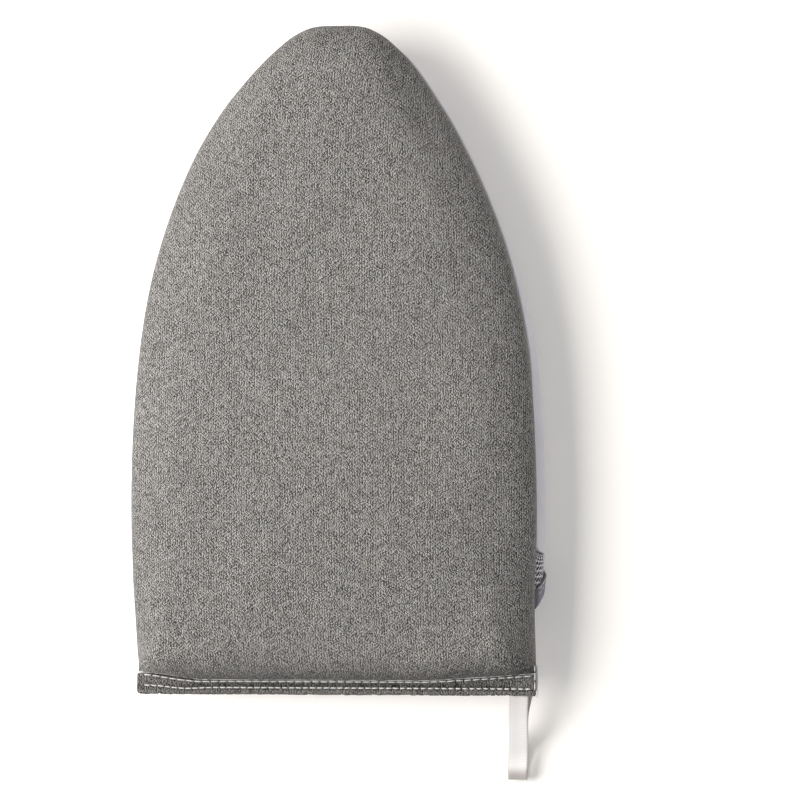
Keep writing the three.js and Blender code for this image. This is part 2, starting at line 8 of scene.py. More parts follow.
import logging
import math
import time
from dataclasses import dataclass, field
from enum import Enum
from typing import Iterable

import bmesh
import bpy
import numpy as np
from bpy.types import Material, NodeSocket, Object
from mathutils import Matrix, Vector


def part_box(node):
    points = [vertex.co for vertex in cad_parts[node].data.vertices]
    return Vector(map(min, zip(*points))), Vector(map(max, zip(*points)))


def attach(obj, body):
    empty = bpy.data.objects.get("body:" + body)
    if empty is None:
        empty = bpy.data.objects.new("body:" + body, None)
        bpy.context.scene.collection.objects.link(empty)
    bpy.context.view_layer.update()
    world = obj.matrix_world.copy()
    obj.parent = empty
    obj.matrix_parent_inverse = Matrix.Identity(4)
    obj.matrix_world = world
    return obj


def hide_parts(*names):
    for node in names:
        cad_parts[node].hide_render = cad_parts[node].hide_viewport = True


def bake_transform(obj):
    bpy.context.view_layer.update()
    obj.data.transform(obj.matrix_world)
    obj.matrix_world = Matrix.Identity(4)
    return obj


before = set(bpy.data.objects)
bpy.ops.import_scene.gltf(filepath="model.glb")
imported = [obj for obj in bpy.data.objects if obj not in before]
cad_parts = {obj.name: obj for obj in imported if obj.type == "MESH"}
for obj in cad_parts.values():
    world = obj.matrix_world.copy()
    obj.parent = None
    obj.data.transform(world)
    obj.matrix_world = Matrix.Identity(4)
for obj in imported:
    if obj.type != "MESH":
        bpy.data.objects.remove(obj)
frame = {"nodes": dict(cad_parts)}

LOG = logging.getLogger("ironing_glove")
MM = 0.001
TURN = 2 * math.pi
TINY = 1e-9
TINY_AREA = 1e-12
CLOTH_PLACE = "cloth_place"
GLOVE_BODY = "glove"

# Where a second noise is read, in its own units, so that it differs from the first
ELSEWHERE = 31

# How far the sewn glove leans to the right: rises, and shifts, both in millimetres
LEAN_RISES = (0, 13, 35, 65, 95, 125, 140, 155, 170, 185, 204, 222, 237, 250)
LEAN_SHIFTS = (0.26, 0.5, 0, -0.11, -0.2, 0, -0.15, -0.35, -0.45, -0.64, -0.75, -0.1, 1.3, 2.0)

Array = np.ndarray
Pair = tuple[float, float]
Colour = tuple[float, float, float]


def linear(red: float, green: float, blue: float) -> Colour:
    """Turns display values from 0 to 255 into a linear colour.

    Args:
        red: red as it is seen on a display.
        green: green as it is seen on a display.
        blue: blue as it is seen on a display.

    Returns:
        The colour in linear light, as shaders take it.
    """
    def channel(value: float) -> float:
        """One channel in linear light."""
        share = value / 255
        return share / 12.92 if share <= 0.04045 else ((share + 0.055) / 1.055) ** 2.4

    return channel(red), channel(green), channel(blue)


def smooth(value: Array | float, low: float, high: float) -> Array:
    """An S-shaped step from 0 at low to 1 at high, read at value."""
    share = np.clip((np.asarray(value, float) - low) / (high - low), 0, 1)
    return share * share * (3 - 2 * share)


def mix(low: Array | float, high: Array | float, share: Array | float) -> Array:
    """The value that lies the given share of the way from low to high."""
    return np.asarray(low) + (np.asarray(high) - low) * share


def bell(away: Array, reach: float) -> Array:
    """A bell-shaped hump, 1 where away is 0 and nearly 0 at twice the reach."""
    return np.exp(-((away / reach) ** 2))


class Waves:
    """A smooth random field, the same in every run: a sum of plane waves.

    Args:
        seed: starts the random draws.
        length: the waves' usual length in metres.
        count: how many waves are added up.
        stretch: how much longer the waves are along the second direction.
    """

    def __init__(self, seed: int, length: float, count: int = 14, stretch: float = 1.0) -> None:
        """Draws the waves."""
        draw = np.random.default_rng(seed)
        turn = draw.uniform(0, TURN, count)
        number = TURN / (length * draw.uniform(0.7, 1.5, count))
        self.across = np.cos(turn) * number
        self.along = np.sin(turn) * number / stretch
        self.phase = draw.uniform(0, TURN, count)
        self.scale = math.sqrt(2 / count)

    def at(self, across: Array, along: Array) -> Array:
        """The field's value, about -2 to 2, at each place.

        Args:
            across: places along the first direction.
            along: places along the second direction.

        Returns:
            One value a place.
        """
        across = np.asarray(across, float)[..., None]
        along = np.asarray(along, float)[..., None]
        angle = across * self.across + along * self.along + self.phase
        return np.sin(angle).sum(-1) * self.scale


class Field:
    """A shader value that takes part in Python expressions, which add Math nodes.

    Args:
        shader: the node tree that the value belongs to.
        socket: the output that gives the value.
    """

    def __init__(self, shader: "Shader", socket: NodeSocket) -> None:
        """Keeps the tree and the output."""
        self.shader = shader
        self.socket = socket

    def __add__(self, other: "Value") -> "Field":
        """self + other."""
        return self.shader.math("ADD", self, other)

    __radd__ = __add__

    def __sub__(self, other: "Value") -> "Field":
        """self - other."""
        return self.shader.math("SUBTRACT", self, other)

    def __rsub__(self, other: "Value") -> "Field":
        """other - self."""
        return self.shader.math("SUBTRACT", other, self)

    def __mul__(self, other: "Value") -> "Field":
        """self * other."""
        return self.shader.math("MULTIPLY", self, other)

    __rmul__ = __mul__

    def __truediv__(self, other: "Value") -> "Field":
        """self / other."""
        return self.shader.math("DIVIDE", self, other)

    def __pow__(self, other: "Value") -> "Field":
        """self to the power other."""
        return self.shader.math("POWER", self, other)

    def __gt__(self, other: "Value") -> "Field":
        """1 where self is over other, or else 0."""
        return self.shader.math("GREATER_THAN", self, other)

    def __abs__(self) -> "Field":
        """The value without its sign."""
        return self.shader.math("ABSOLUTE", self)

    def floor(self) -> "Field":
        """The whole number below the value."""
        return self.shader.math("FLOOR", self)

    def sine(self) -> "Field":
        """The sine of the value in radians."""
        return self.shader.math("SINE", self)

    def wave(self) -> "Field":
        """A sine wave from -1 to 1, which repeats each time the value grows by 1."""
        return (self * TURN).sine()

    def ripple(self) -> "Field":
        """The same wave from 0 to 1."""
        return self.wave() * 0.5 + 0.5


Value = Field | float


class Shader:
    """A material's node tree, made from expressions and named nodes.

    Args:
        name: the material's name.
    """

    def __init__(self, name: str) -> None:
        """Makes an empty material."""
        self.material = bpy.data.materials.new(name)
        self.material.use_nodes = True
        self.tree = self.material.node_tree
        self.tree.nodes.clear()
        self.output = self.tree.nodes.new("ShaderNodeOutputMaterial")

    def link(self, source: object, target: NodeSocket) -> None:
        """Puts a link, a number or a colour into a socket.

        Args:
            source: a Field, an output socket, a number or a tuple.
            target: the input that takes it.
        """
        if isinstance(source, Field):
            self.tree.links.new(source.socket, target)
        elif isinstance(source, NodeSocket):
            self.tree.links.new(source, target)
        elif isinstance(source, tuple) and target.type == "RGBA":
            target.default_value = (*source, 1.0)
        else:
            target.default_value = source

    def node(
        self, kind: str, settings: dict[str, object] | None = None, inputs: dict | None = None
    ) -> bpy.types.Node:
        """Adds a node.

        Args:
            kind: the node's type.
            settings: its own settings, which are set first.
            inputs: the values or links of its sockets, by name or by number.

        Returns:
            The node.
        """
        made = self.tree.nodes.new(kind)
        for name, value in (settings or {}).items():
            setattr(made, name, value)
        for key, value in (inputs or {}).items():
            self.link(value, made.inputs[key])
        return made

    def math(self, operation: str, *values: Value) -> Field:
        """Adds a Math node and returns its value."""
        made = self.node("ShaderNodeMath", {"operation": operation}, dict(enumerate(values)))
        return Field(self, made.outputs[0])

    def kept(self) -> list[Field]:
        """The three numbers that are kept with each point's place on the cloth.

        Returns:
            Across, along and the painted shade.
        """
        read = self.node("ShaderNodeAttribute", {"attribute_name": CLOTH_PLACE})
        parts = self.node("ShaderNodeSeparateXYZ", None, {0: read.outputs["Vector"]})
        return [Field(self, output) for output in parts.outputs]

    def place(self) -> tuple[Field, Field]:
        """Where a point lies on the flat cloth, in millimetres across and along it."""
        across, along, _ = self.kept()
        return across / MM, along / MM

    def read_painted_shade(self) -> Field:
        """How much painted shade a point of the cloth has, from the third number of its place."""
        return self.kept()[2]

    def vector(self, x: Value, y: Value, z: Value = 0.0) -> NodeSocket:
        """Joins three values into a vector."""
        return self.node("ShaderNodeCombineXYZ", None, {0: x, 1: y, 2: z}).outputs[0]

    def noise(self, x: Value, y: Value, detail: float = 2.0, roughness: float = 0.5) -> Field:
        """Smooth noise from 0 to 1 whose features are about one unit across.

        Args:
            x: the first coordinate.
            y: the second coordinate.
            detail: how many finer layers are added.
            roughness: how strong the finer layers are.

        Returns:
            The noise.
        """
        made = self.node(
            "ShaderNodeTexNoise",
            {"noise_dimensions": "2D"},
            {"Vector": self.vector(x, y), "Scale": 1.0, "Detail": detail, "Roughness": roughness},
        )
        return Field(self, made.outputs[0])

    def scatter(self, x: Value, y: Value) -> Field:
        """A random value for each pair of numbers.

        Args:
            x: the first number.
            y: the second number.

        Returns:
            The value, from 0 to 1.
        """
        made = self.node(
            "ShaderNodeTexWhiteNoise", {"noise_dimensions": "2D"}, {"Vector": self.vector(x, y)}
        )
        return Field(self, made.outputs["Value"])

    def blend(self, share: Value, low: object, high: object) -> NodeSocket:
        """Mixes two colours.

        Args:
            share: how much of high is taken, from 0 to 1.
            low: the colour where share is 0.
            high: the colour where share is 1.

        Returns:
            The mixed colour.
        """
        made = self.node("ShaderNodeMix", {"data_type": "RGBA"})
        self.link(share, made.inputs[0])
        self.link(low, made.inputs[6])
        self.link(high, made.inputs[7])
        return made.outputs[2]

    def step(self, value: Field, low: float, high: float) -> Field:
        """An S-shaped step of a value.

        Args:
            value: where the step is read.
            low: where it leaves 0.
            high: where it reaches 1.

        Returns:
            The step's height, from 0 to 1.
        """
        inputs = {"Value": value, "From Min": low, "From Max": high}
        made = self.node("ShaderNodeMapRange", {"interpolation_type": "SMOOTHSTEP"}, inputs)
        return Field(self, made.outputs[0])

    def clamp(self, value: Field) -> Field:
        """The value, kept from 0 to 1."""
        return Field(self, self.node("ShaderNodeClamp", None, {0: value}).outputs[0])

    def bump(self, height: Field, depth: float, strength: float = 1.0) -> NodeSocket:
        """A normal that shows a height from 0 to 1 as relief.

        Args:
            height: the relief.
            depth: how deep the relief is, in metres.
            strength: how much of it shows.

        Returns:
            The normal.
        """
        made = self.node(
            "ShaderNodeBump", None, {"Strength": strength, "Distance": depth, "Height": height}
        )
        return made.outputs[0]

    def surface(self, inputs: dict[str, object]) -> Material:
        """Ends the tree in a Principled shader.

        Args:
            inputs: the values or links of its sockets, by name.

        Returns:
            The material.
        """
        shader = self.node("ShaderNodeBsdfPrincipled", None, inputs)
        self.tree.links.new(shader.outputs[0], self.output.inputs[0])
        return self.material


@dataclass(frozen=True)
class HeatherCloth:
    """Warm grey plain weave of mixed pale and dark fibres."""

    name: str = "grey_heather_cloth"
    cool_light: Colour = (172, 172, 173)  # the palest bluish fibres, as a display shows them
    warm_light: Colour = (177, 172, 165)  # the palest brownish fibres
    cool_dark: Colour = (32, 32, 33)  # the darkest bluish fibres
    warm_dark: Colour = (38, 35, 32)  # the darkest brownish fibres
    fibre: Pair = (0.35, 0.42)  # width and height of one fibre's spot, in millimetres
    loop: Pair = (0.97, 1.27)  # from one loop of yarn to the next, across and along, in millimetres
    drift: float = 0.4  # how far the yarns wander, in millimetres

    def material(self) -> Material:
        """Makes the cloth's material.

        Returns:
            The material.
        """
        shader = Shader(self.name)
        u, v = shader.place()
        u = u + (shader.noise(u / 6, v / 9, 1.0) - 0.5) * self.drift
        v = v + (shader.noise(u / 9 + ELSEWHERE, v / 6, 1.0) - 0.5) * self.drift
        column, row = (u / self.fibre[0]).floor(), (v / self.fibre[1]).floor()
        beside = shader.scatter(column - 1, row) + shader.scatter(column + 1, row) - 1
        above = shader.scatter(column, row - 1) + shader.scatter(column, row + 1) - 1
        fleck = shader.scatter(column, row) - 0.5 - beside * 0.3 - above * 0.15
        wale = u / self.loop[0]
        odd = wale.floor() - (wale.floor() / 2).floor() * 2
        course = v / self.loop[1] + odd * 0.5
        yarn = shader.scatter(wale.floor() + 0.5, course.floor()) - 0.5
        ridge, bend = wale.wave(), course.wave()
        cloud = shader.noise(u / 16, v / 22, 3.0) - 0.5
        glint = shader.scatter(column + 0.5, row + 0.5) > 0.95
        grain = fleck * 1.03 + ridge * 0.13 + bend * 0.12
        grain = grain + yarn * 0.26 + cloud * 0.05 + glint * 0.34
        # Painted shade: the third number of each place darkens the cloth along the hem and round the tip
        tone = shader.clamp(grain + 0.57 - shader.read_painted_shade())
        warm = shader.scatter(column + 0.5, row)
        light = shader.blend(warm, linear(*self.cool_light), linear(*self.warm_light))
        dark = shader.blend(warm, linear(*self.cool_dark), linear(*self.warm_dark))
        return shader.surface({
            "Base Color": shader.blend(tone * tone, dark, light),
            "Roughness": 0.92,
            "Sheen Weight": 0.14,
            "Sheen Roughness": 0.45,
            "Specular IOR Level": 0.2,
            "Normal": shader.bump(ridge * 0.25 + bend * 0.2 + fleck * 0.2 + 0.5, 0.12 * MM, 0.5),
        })


@dataclass(frozen=True)
class KnitCloth:
    """Matt knitted cloth with fine upright loops."""

    name: str
    colour: Colour
    shade: Colour  # the colour between the loops
    pitch: float = 0.62  # millimetres from one column of loops to the next

    def material(self) -> Material:
        """Makes the cloth's material.

        Returns:
            The material.
        """
        shader = Shader(self.name)
        u, v = shader.place()
        slant = abs((u / self.pitch * math.pi).sine())
        course = (v / (self.pitch * 0.8) + slant * 0.5).ripple()
        relief = slant * 0.6 + course * 0.4
        cloud = shader.noise(u / 14, v / 17, 3.0)
        fibre = shader.noise(u / 0.35, v / 0.5, 2.0)
        tone = relief * 0.55 + cloud * 0.3 + fibre * 0.25
        return shader.surface({
            "Base Color": shader.blend(tone, self.shade, self.colour),
            "Roughness": 0.88,
            "Sheen Weight": 0.2,
            "Sheen Roughness": 0.5,
            "Specular IOR Level": 0.3,
            "Normal": shader.bump(relief, 0.1 * MM, 0.6),
        })


@dataclass(frozen=True)
class SatinRibbon:
    """Off-white satin with fine ribs across the ribbon and a firm looped edge."""

    name: str = "satin_ribbon"
    colour: Colour = linear(248, 247, 246)
    shade: Colour = linear(176, 169, 166)  # colour between the ribs, and of the painted shade at root and fold
    rib_pitch: float = 0.95  # millimetres from one rib to the next

    def material(self) -> Material:
        """Makes the ribbon's material.

        Returns:
            The material.
        """
        shader = Shader(self.name)
        u, v = shader.place()
        sway = shader.noise(u / 3, v / 2, 1.0) * 0.8
        rib = ((v + sway) / self.rib_pitch).ripple()
        thread = shader.noise(u / 0.12, v / 0.8, 2.0)
        picot = (v / 0.8).ripple()
        edge = shader.step(abs(u), 2.9, 3.3)
        bare = shader.step(abs(u + 1.2), 0.4, 2.6)
        tone = rib * 0.09 * bare + thread * 0.3 + 0.55 - edge * picot * 0.5
        # Painted shade: darker near the root under the hem, and over the fold at the loop's end, which faces
        # away from the light
        tone = tone + (shader.step(v, -35, -20) - 1) * 0.4 - shader.step(v, -3.2, 0.6) * 0.7
        return shader.surface({
            "Base Color": shader.blend(shader.clamp(tone), self.shade, self.colour),
            "Roughness": 0.42 + thread * 0.12,
            "Sheen Weight": 0.1,
            "Specular IOR Level": 0.5,
            "Normal": shader.bump(rib * 0.6 + thread * 0.4, 0.07 * MM, 0.7),
        })


@dataclass(frozen=True)
class SewingThread:
    """Twisted white sewing thread."""

    name: str = "white_thread"
    colour: Colour = linear(250, 249, 246)
    shade: Colour = linear(196, 194, 191)  # colour between the strands

    def material(self) -> Material:
        """Makes the thread's material.

        Returns:
            The material.
        """
        shader = Shader(self.name)
        u, v = shader.place()
        twist = (v / 0.7 + u / 1.2).ripple()
        tone = twist * 0.5 + shader.noise(u / 2.5, v / 2.5, 2.0) * 0.6
        return shader.surface({
            "Base Color": shader.blend(shader.clamp(tone), self.shade, self.colour),
            "Roughness": 0.6,
            "Sheen Weight": 0.15,
            "Normal": shader.bump(twist, 0.05 * MM, 0.8),
        })


@dataclass(frozen=True)
class Felt:
    """Needled felt, or the fine cells of a sponge: short fibres in every direction."""

    name: str
    colour: Colour
    shade: Colour  # colour between the fibres
    grain: float = 1.4  # size of the coarsest tufts, in millimetres

    def material(self) -> Material:
        """Makes the felt's material.

        Returns:
            The material.
        """
        shader = Shader(self.name)
        u, v = shader.place()
        fibre = shader.noise(u / self.grain, v / self.grain, 6.0, 0.7)
        cell = shader.scatter((u / 0.4).floor(), (v / 0.4).floor())
        tone = fibre * 0.8 + cell * 0.2
        return shader.surface({
            "Base Color": shader.blend(tone, self.shade, self.colour),
            "Roughness": 0.95,
            "Sheen Weight": 0.25,
            "Normal": shader.bump(tone, 0.3 * MM, 0.7),
        })


@dataclass(frozen=True)
class MetallisedFilm:
    """Thin woven cloth with a metallised face."""

    name: str = "metallised_film"
    colour: Colour = linear(205, 207, 209)
    shade: Colour = linear(150, 152, 156)  # colour of its darker creases

    def material(self) -> Material:
        """Makes the film's material.

        Returns:
            The material.
        """
        shader = Shader(self.name)
        u, v = shader.place()
        weave = (u / 0.5).wave() * (v / 0.5).wave()
        crease = shader.noise(u / 9, v / 9, 4.0, 0.65)
        tone = weave * 0.15 + crease
        return shader.surface({
            "Base Color": shader.blend(tone, self.shade, self.colour),
            "Roughness": 0.28 + crease * 0.2,
            "Metallic": 0.75,
            "Normal": shader.bump(tone, 0.25 * MM, 0.8),
        })


class Slot(Enum):
    """The material slots of the record, as the pieces name them."""

    HEATHER = "grey_heather_cloth"
    FILM = "metallised_film"
    FELT = "felt"
    SPONGE = "sponge"
    KNIT = "white_knit"
    LINING = "white_lining"
    MESH = "white_mesh"
    BINDING = "white_binding"
    ELASTIC = "elastic"
    SATIN = "satin_ribbon"


class Finishes:
    """Every material of the glove, made once."""

    def __init__(self) -> None:
        """Makes the materials."""
        made = {
            Slot.HEATHER: HeatherCloth(),
            Slot.FILM: MetallisedFilm(),
            Slot.FELT: Felt("felt", linear(226, 222, 214), linear(184, 178, 168)),
            Slot.SPONGE: Felt("sponge", linear(238, 232, 208), linear(200, 190, 158), 0.9),
            Slot.KNIT: KnitCloth("white_knit", linear(250, 248, 254), linear(202, 199, 211), 0.95),
            Slot.LINING: KnitCloth("white_lining", linear(224, 223, 230), linear(186, 185, 196), 0.5),
            Slot.MESH: KnitCloth("white_mesh", linear(250, 249, 253), linear(222, 220, 230), 0.35),
            # The white binding takes dark grey-lavender colours: painted shade, as it curves under the mouth
            # away from the light
            Slot.BINDING: KnitCloth("white_binding", linear(158, 156, 168), linear(108, 106, 120), 0.45),
            Slot.ELASTIC: KnitCloth("elastic", linear(240, 240, 238), linear(200, 200, 200), 0.7),
            Slot.SATIN: SatinRibbon(),
        }
        self.by_slot = {slot: finish.material() for slot, finish in made.items()}
        # Painted shade: a darker copy of the grey cloth for the front hem, which lies low beside the pad's
        # end
        self.hem = HeatherCloth(
            "grey_hem_cloth_shaded", (139, 139, 140), (145, 140, 133), (20, 20, 21), (25, 23, 21)
        ).material()
        self.thread = SewingThread().material()
        # Painted shade: a black net behind the vents' holes stands for the dark inside of the pocket
        self.net = KnitCloth("black_painted_shade_net", linear(18, 18, 20), linear(8, 8, 10), 0.5).material()


def leaning(points: Array) -> Array:
    """Points shifted sideways, as the sewn glove isn't quite straight.

    Args:
        points: the points of the straight glove.

    Returns:
        The shifted points.
    """
    rise = (points[:, 1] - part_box("bottom_hem")[0].y) / MM
    found = points.copy()
    found[:, 0] += np.interp(rise, LEAN_RISES, LEAN_SHIFTS) * MM
    return found


def placed(name: str, data: bpy.types.ID) -> Object:
    """Makes an object and puts it into the scene.

    Args:
        name: its name.
        data: its mesh, lamp or camera.

    Returns:
        The object.
    """
    made = bpy.data.objects.new(name, data)
    bpy.context.scene.collection.objects.link(made)
    return made


class Skin:
    """Points and faces of one piece, gathered before they become a mesh."""

    def __init__(self) -> None:
        """Starts without points."""
        self.points: list[Array] = []
        self.places: list[Array] = []
        self.faces: list[tuple[int, ...]] = []
        self.count = 0

    def add(self, points: Array, places: Array) -> Array:
        """Adds points with their places on the flat cloth.

        Args:
            points: an array whose last axis is x, y, z.
            places: an array of the same shape but for its last axis: across, along and, where shade is
            painted onto the cloth, how much.

        Returns:
            The points' numbers, in the array's shape.
        """
        flat = np.asarray(points, float).reshape(-1, 3)
        self.points.append(flat)
        self.places.append(np.asarray(places, float).reshape(-1, np.shape(places)[-1]))
        numbers = np.arange(len(flat)) + self.count
        self.count += len(flat)
        return numbers.reshape(np.shape(points)[:-1])

    def quads(self, grid: Array, closed: bool = False, turned: bool = False) -> None:
        """Fills a grid of point numbers with faces.

        Args:
            grid: rows of point numbers.
            closed: whether each row runs on from its end to its start.
            turned: whether the faces look the other way.
        """
        if closed:
            grid = np.concatenate([grid, grid[:, :1]], axis=1)
        a, b, c, d = grid[:-1, :-1], grid[:-1, 1:], grid[1:, 1:], grid[1:, :-1]
        faces = np.stack([a, d, c, b] if turned else [a, b, c, d], axis=-1).reshape(-1, 4)
        self.faces.extend(map(tuple, faces.tolist()))

    def tube(self, section: Array, places: Array) -> None:
        """Adds a closed strip whose rows are rings, with both its ends capped.

        Args:
            section: rings of points.
            places: where they lie on the flat cloth.
        """
        grid = self.add(section, places)
        self.quads(grid, closed=True)
        for k in (0, -1):
            ring = grid[k].tolist()
            centre = int(self.add(section[k].mean(0)[None], places[k].mean(0)[None])[0])
            self.faces.extend((centre, a, b) for a, b in zip(ring, ring[1:] + ring[:1]))

    def piece(self, name: str, material: Material) -> Object:
        """Makes the object, with smooth faces that look outwards.

        Args:
            name: the piece's name.
            material: its finish.

        Returns:
            The object, in the scene.
        """
        mesh = bpy.data.meshes.new(name)
        points = leaning(np.concatenate(self.points))
        places = np.concatenate(self.places)
        mesh.from_pydata(points.tolist(), [], self.faces)
        attribute = mesh.attributes.new(CLOTH_PLACE, "FLOAT_VECTOR", "POINT")
        flat = np.zeros((len(points), 3), np.float32)
        flat[:, :places.shape[1]] = places
        attribute.data.foreach_set("vector", flat.ravel())
        mesh.materials.append(material)
        mesh.validate()
        mesh.shade_smooth()
        return placed(name, mesh)


def tidy(piece: Object, weld: float = 0.01 * MM) -> Object:
    """Welds a piece's double points, turns its faces outwards and reports it.

    Args:
        piece: the piece.
        weld: how far apart double points may lie.

    Returns:
        The same piece.
    """
    work = bmesh.new()
    work.from_mesh(piece.data)
    bmesh.ops.remove_doubles(work, verts=work.verts, dist=weld)
    bmesh.ops.dissolve_degenerate(work, edges=work.edges, dist=weld / 2)
    bmesh.ops.recalc_face_normals(work, faces=work.faces)
    work.to_mesh(piece.data)
    work.free()
    piece.data.shade_smooth()
    LOG.info("%s: %d faces", piece.name, len(piece.data.polygons))
    return piece


@dataclass(frozen=True)
class Edge:
    """The pad's edge as a closed loop, seen from the front."""

    x: Array  # places across the glove
    rise: Array  # places along it
    hem_share: Array  # how much each point belongs to the hem end, from 0 to 1
    spine_rise: Array  # where the line inwards from each point meets the middle line

    def reach(self) -> Array:
        """How far it is from each point to the middle line."""
        return np.hypot(self.x, self.spine_rise - self.rise)


@dataclass(frozen=True)
class Outline:
    """The glove's outline from the front: a smooth curve through shares of its length and width."""

    half_width: float  # half the greatest width
    length: float  # from the hem's bottom edge to the tip
    # Pairs of a rise and a half width, as shares of length and half_width
    shares: tuple[Pair, ...] = (
        (0, 0.98), (0.128, 0.986), (0.26, 1), (0.392, 0.991), (0.52, 0.957), (0.64, 0.88),
        (0.752, 0.754), (0.848, 0.597), (0.928, 0.412), (0.974, 0.265), (0.9932, 0.168), (0.9993, 0.095),
        (1, 0),
    )
    hem_height: float = 5.2 * MM  # how high the hem is in the middle
    hem_end_height: float = 8 * MM  # how high it is at the side seams
    hem_flare: float = 26 * MM  # how far from the left side seam it starts to flare
    right_flare: float = 42 * MM  # how far from the right side seam it does
    tip_reach: float = 62 * MM  # from the tip to the end of the middle line
    end_reach: float = 60 * MM  # from the hem's bottom edge to the other end of the middle line
    corner_fade: float = 34 * MM  # how far up the sides the hem end's shape fades
    gap: float = 0.3 * MM  # the space between pad and hem

    def curve(self, count: int = 1500) -> tuple[Array, Array]:
        """Points of the right side from the hem up to the tip.

        Args:
            count: how many points there are.

        Returns:
            Their half widths and their rises.
        """
        given = np.array(self.shares)
        knots = np.concatenate([given[:1], given, given[-1:]])
        spans = len(given) - 1
        where = np.linspace(0, spans, count)
        start = np.minimum(where.astype(int), spans - 1)
        t = (where - start)[:, None]
        p0, p1, p2, p3 = (knots[start + k] for k in range(4))
        slope_1, slope_2 = (p2 - p0) / 2, (p3 - p1) / 2
        points = (
            (2 * p1 - 2 * p2 + slope_1 + slope_2) * t**3
            + (-3 * p1 + 3 * p2 - 2 * slope_1 - slope_2) * t**2
            + slope_1 * t
            + p1
        )
        return points[:, 1] * self.half_width, points[:, 0] * self.length

    def half_width_at(self, rise: Array | float) -> Array:
        """Half the glove's width at a rise."""
        half, rises = self.curve()
        return np.interp(rise, np.maximum.accumulate(rises), half)

    def hem_height_at(self, x: Array | float) -> Array:
        """The hem's height, which grows towards the side seams.

        Args:
            x: places across the glove.

        Returns:
            The rise of the hem's upper edge there.
        """
        from_end = self.half_width_at(0) - np.abs(x)
        left = smooth(self.hem_flare - from_end, 0, self.hem_flare)
        right = np.clip(1 - from_end / self.right_flare, 0, 1) ** 1.15
        return mix(self.hem_height, self.hem_end_height, np.where(np.asarray(x) > 0, right, left))

    def loop(self, side_steps: int, end_steps: int) -> Edge:
        """The pad's edge, from the tip down the left side, along the hem and back up.

        Args:
            side_steps: how many steps each side has.
            end_steps: how many steps the hem end has.

        Returns:
            The loop.
        """
        corner_rise = self.hem_end_height + self.gap
        half, rise = self.curve()
        kept = rise >= corner_rise
        half, rise = half[kept][::-1], rise[kept][::-1]
        walked = arc(np.stack([half, rise], axis=-1))
        places = np.linspace(0, walked[-1], side_steps + 1)
        side_x, side_rise = np.interp(places, walked, half), np.interp(places, walked, rise)
        side_x[0], side_rise[-1] = 0, corner_rise
        even = np.linspace(0, 1, end_steps + 1)[1:-1]
        turned = (1 - np.cos(even * math.pi)) / 2
        end_x = mix(-side_x[-1], side_x[-1], mix(turned, even, 0.6))
        end_rise = self.hem_height_at(end_x) + self.gap
        x = np.concatenate([-side_x, end_x, side_x[1:][::-1]])
        rises = np.concatenate([side_rise, end_rise, side_rise[1:][::-1]])
        on_side = smooth(self.corner_fade - (side_rise - corner_rise), 0, self.corner_fade)
        hem_share = np.concatenate([on_side, np.ones(len(end_x)), on_side[1:][::-1]])
        spine = np.clip(rises, self.end_reach, self.length - self.tip_reach)
        return Edge(x, rises, hem_share, spine)


@dataclass(frozen=True)
class Frame:
    """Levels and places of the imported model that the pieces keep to."""

    outline: Outline
    bottom: float  # y of the hem's bottom edge
    pad_floor: float  # level of the cover's lower edge
    pad_top: float  # level of the cover's highest point
    hem_top: float  # level of the hem's face
    panel_top: float  # level of the back panel's upper face
    panel_under: float  # level of its underside
    rim: float  # level at which the pocket is sewn on

    @classmethod
    def read(cls) -> "Frame":
        """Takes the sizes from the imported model.

        Returns:
            The sizes.
        """
        cover_low, cover_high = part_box("front_cover")
        hem_low, hem_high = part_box("bottom_hem")
        panel_low, panel_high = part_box("back_panel")
        return cls(
            outline=Outline(cover_high.x, cover_high.y - hem_low.y),
            bottom=hem_low.y,
            pad_floor=cover_low.z,
            pad_top=cover_high.z,
            hem_top=hem_high.z,
            panel_top=panel_high.z,
            panel_under=panel_low.z,
            rim=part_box("hand_pocket")[1].z,
        )


def join(x: Array, y: Array, z: Array | float) -> Array:
    """Points from their three coordinates."""
    return np.stack(np.broadcast_arrays(x, y, z), axis=-1).astype(float)


def normals(grid: Array, closed: bool) -> Array:
    """Unit normals of a grid of points.

    Args:
        grid: rows of points.
        closed: whether each row runs on from its end to its start.

    Returns:
        One normal a point.
    """
    if closed:
        wide = np.concatenate([grid[:, -1:], grid, grid[:, :1]], axis=1)
        across = wide[:, 2:] - wide[:, :-2]
    else:
        across = np.gradient(grid, axis=1)
    along = np.gradient(grid, axis=0)
    found = np.cross(across, along)
    size = np.linalg.norm(found, axis=-1, keepdims=True)
    return found / np.maximum(size, TINY_AREA)


def arc(points: Array) -> Array:
    """How far along a line of points each point is."""
    steps = np.linalg.norm(np.diff(points, axis=0), axis=-1)
    return np.concatenate([[0], np.cumsum(steps)])


def shell(
    skin: Skin, outer: Array, inner: Array, places: Array, closed: bool = False
) -> None:
    """Adds a layer of cloth with thickness.

    Args:
        skin: takes the layer.
        outer: rows of points of its outside.
        inner: rows of points of its inside.
        places: where the points lie on the flat cloth.
        closed: whether each row is a ring. The last row of such a layer is its middle.
    """
    front, back = skin.add(outer, places), skin.add(inner, places)
    skin.quads(front, closed)
    skin.quads(back, closed, turned=True)
    skin.quads(np.stack([back[0], front[0]]), closed)
    if not closed:
        skin.quads(np.stack([front[-1], back[-1]]))
        skin.quads(np.stack([front[:, 0], back[:, 0]]))
        skin.quads(np.stack([back[:, -1], front[:, -1]]))


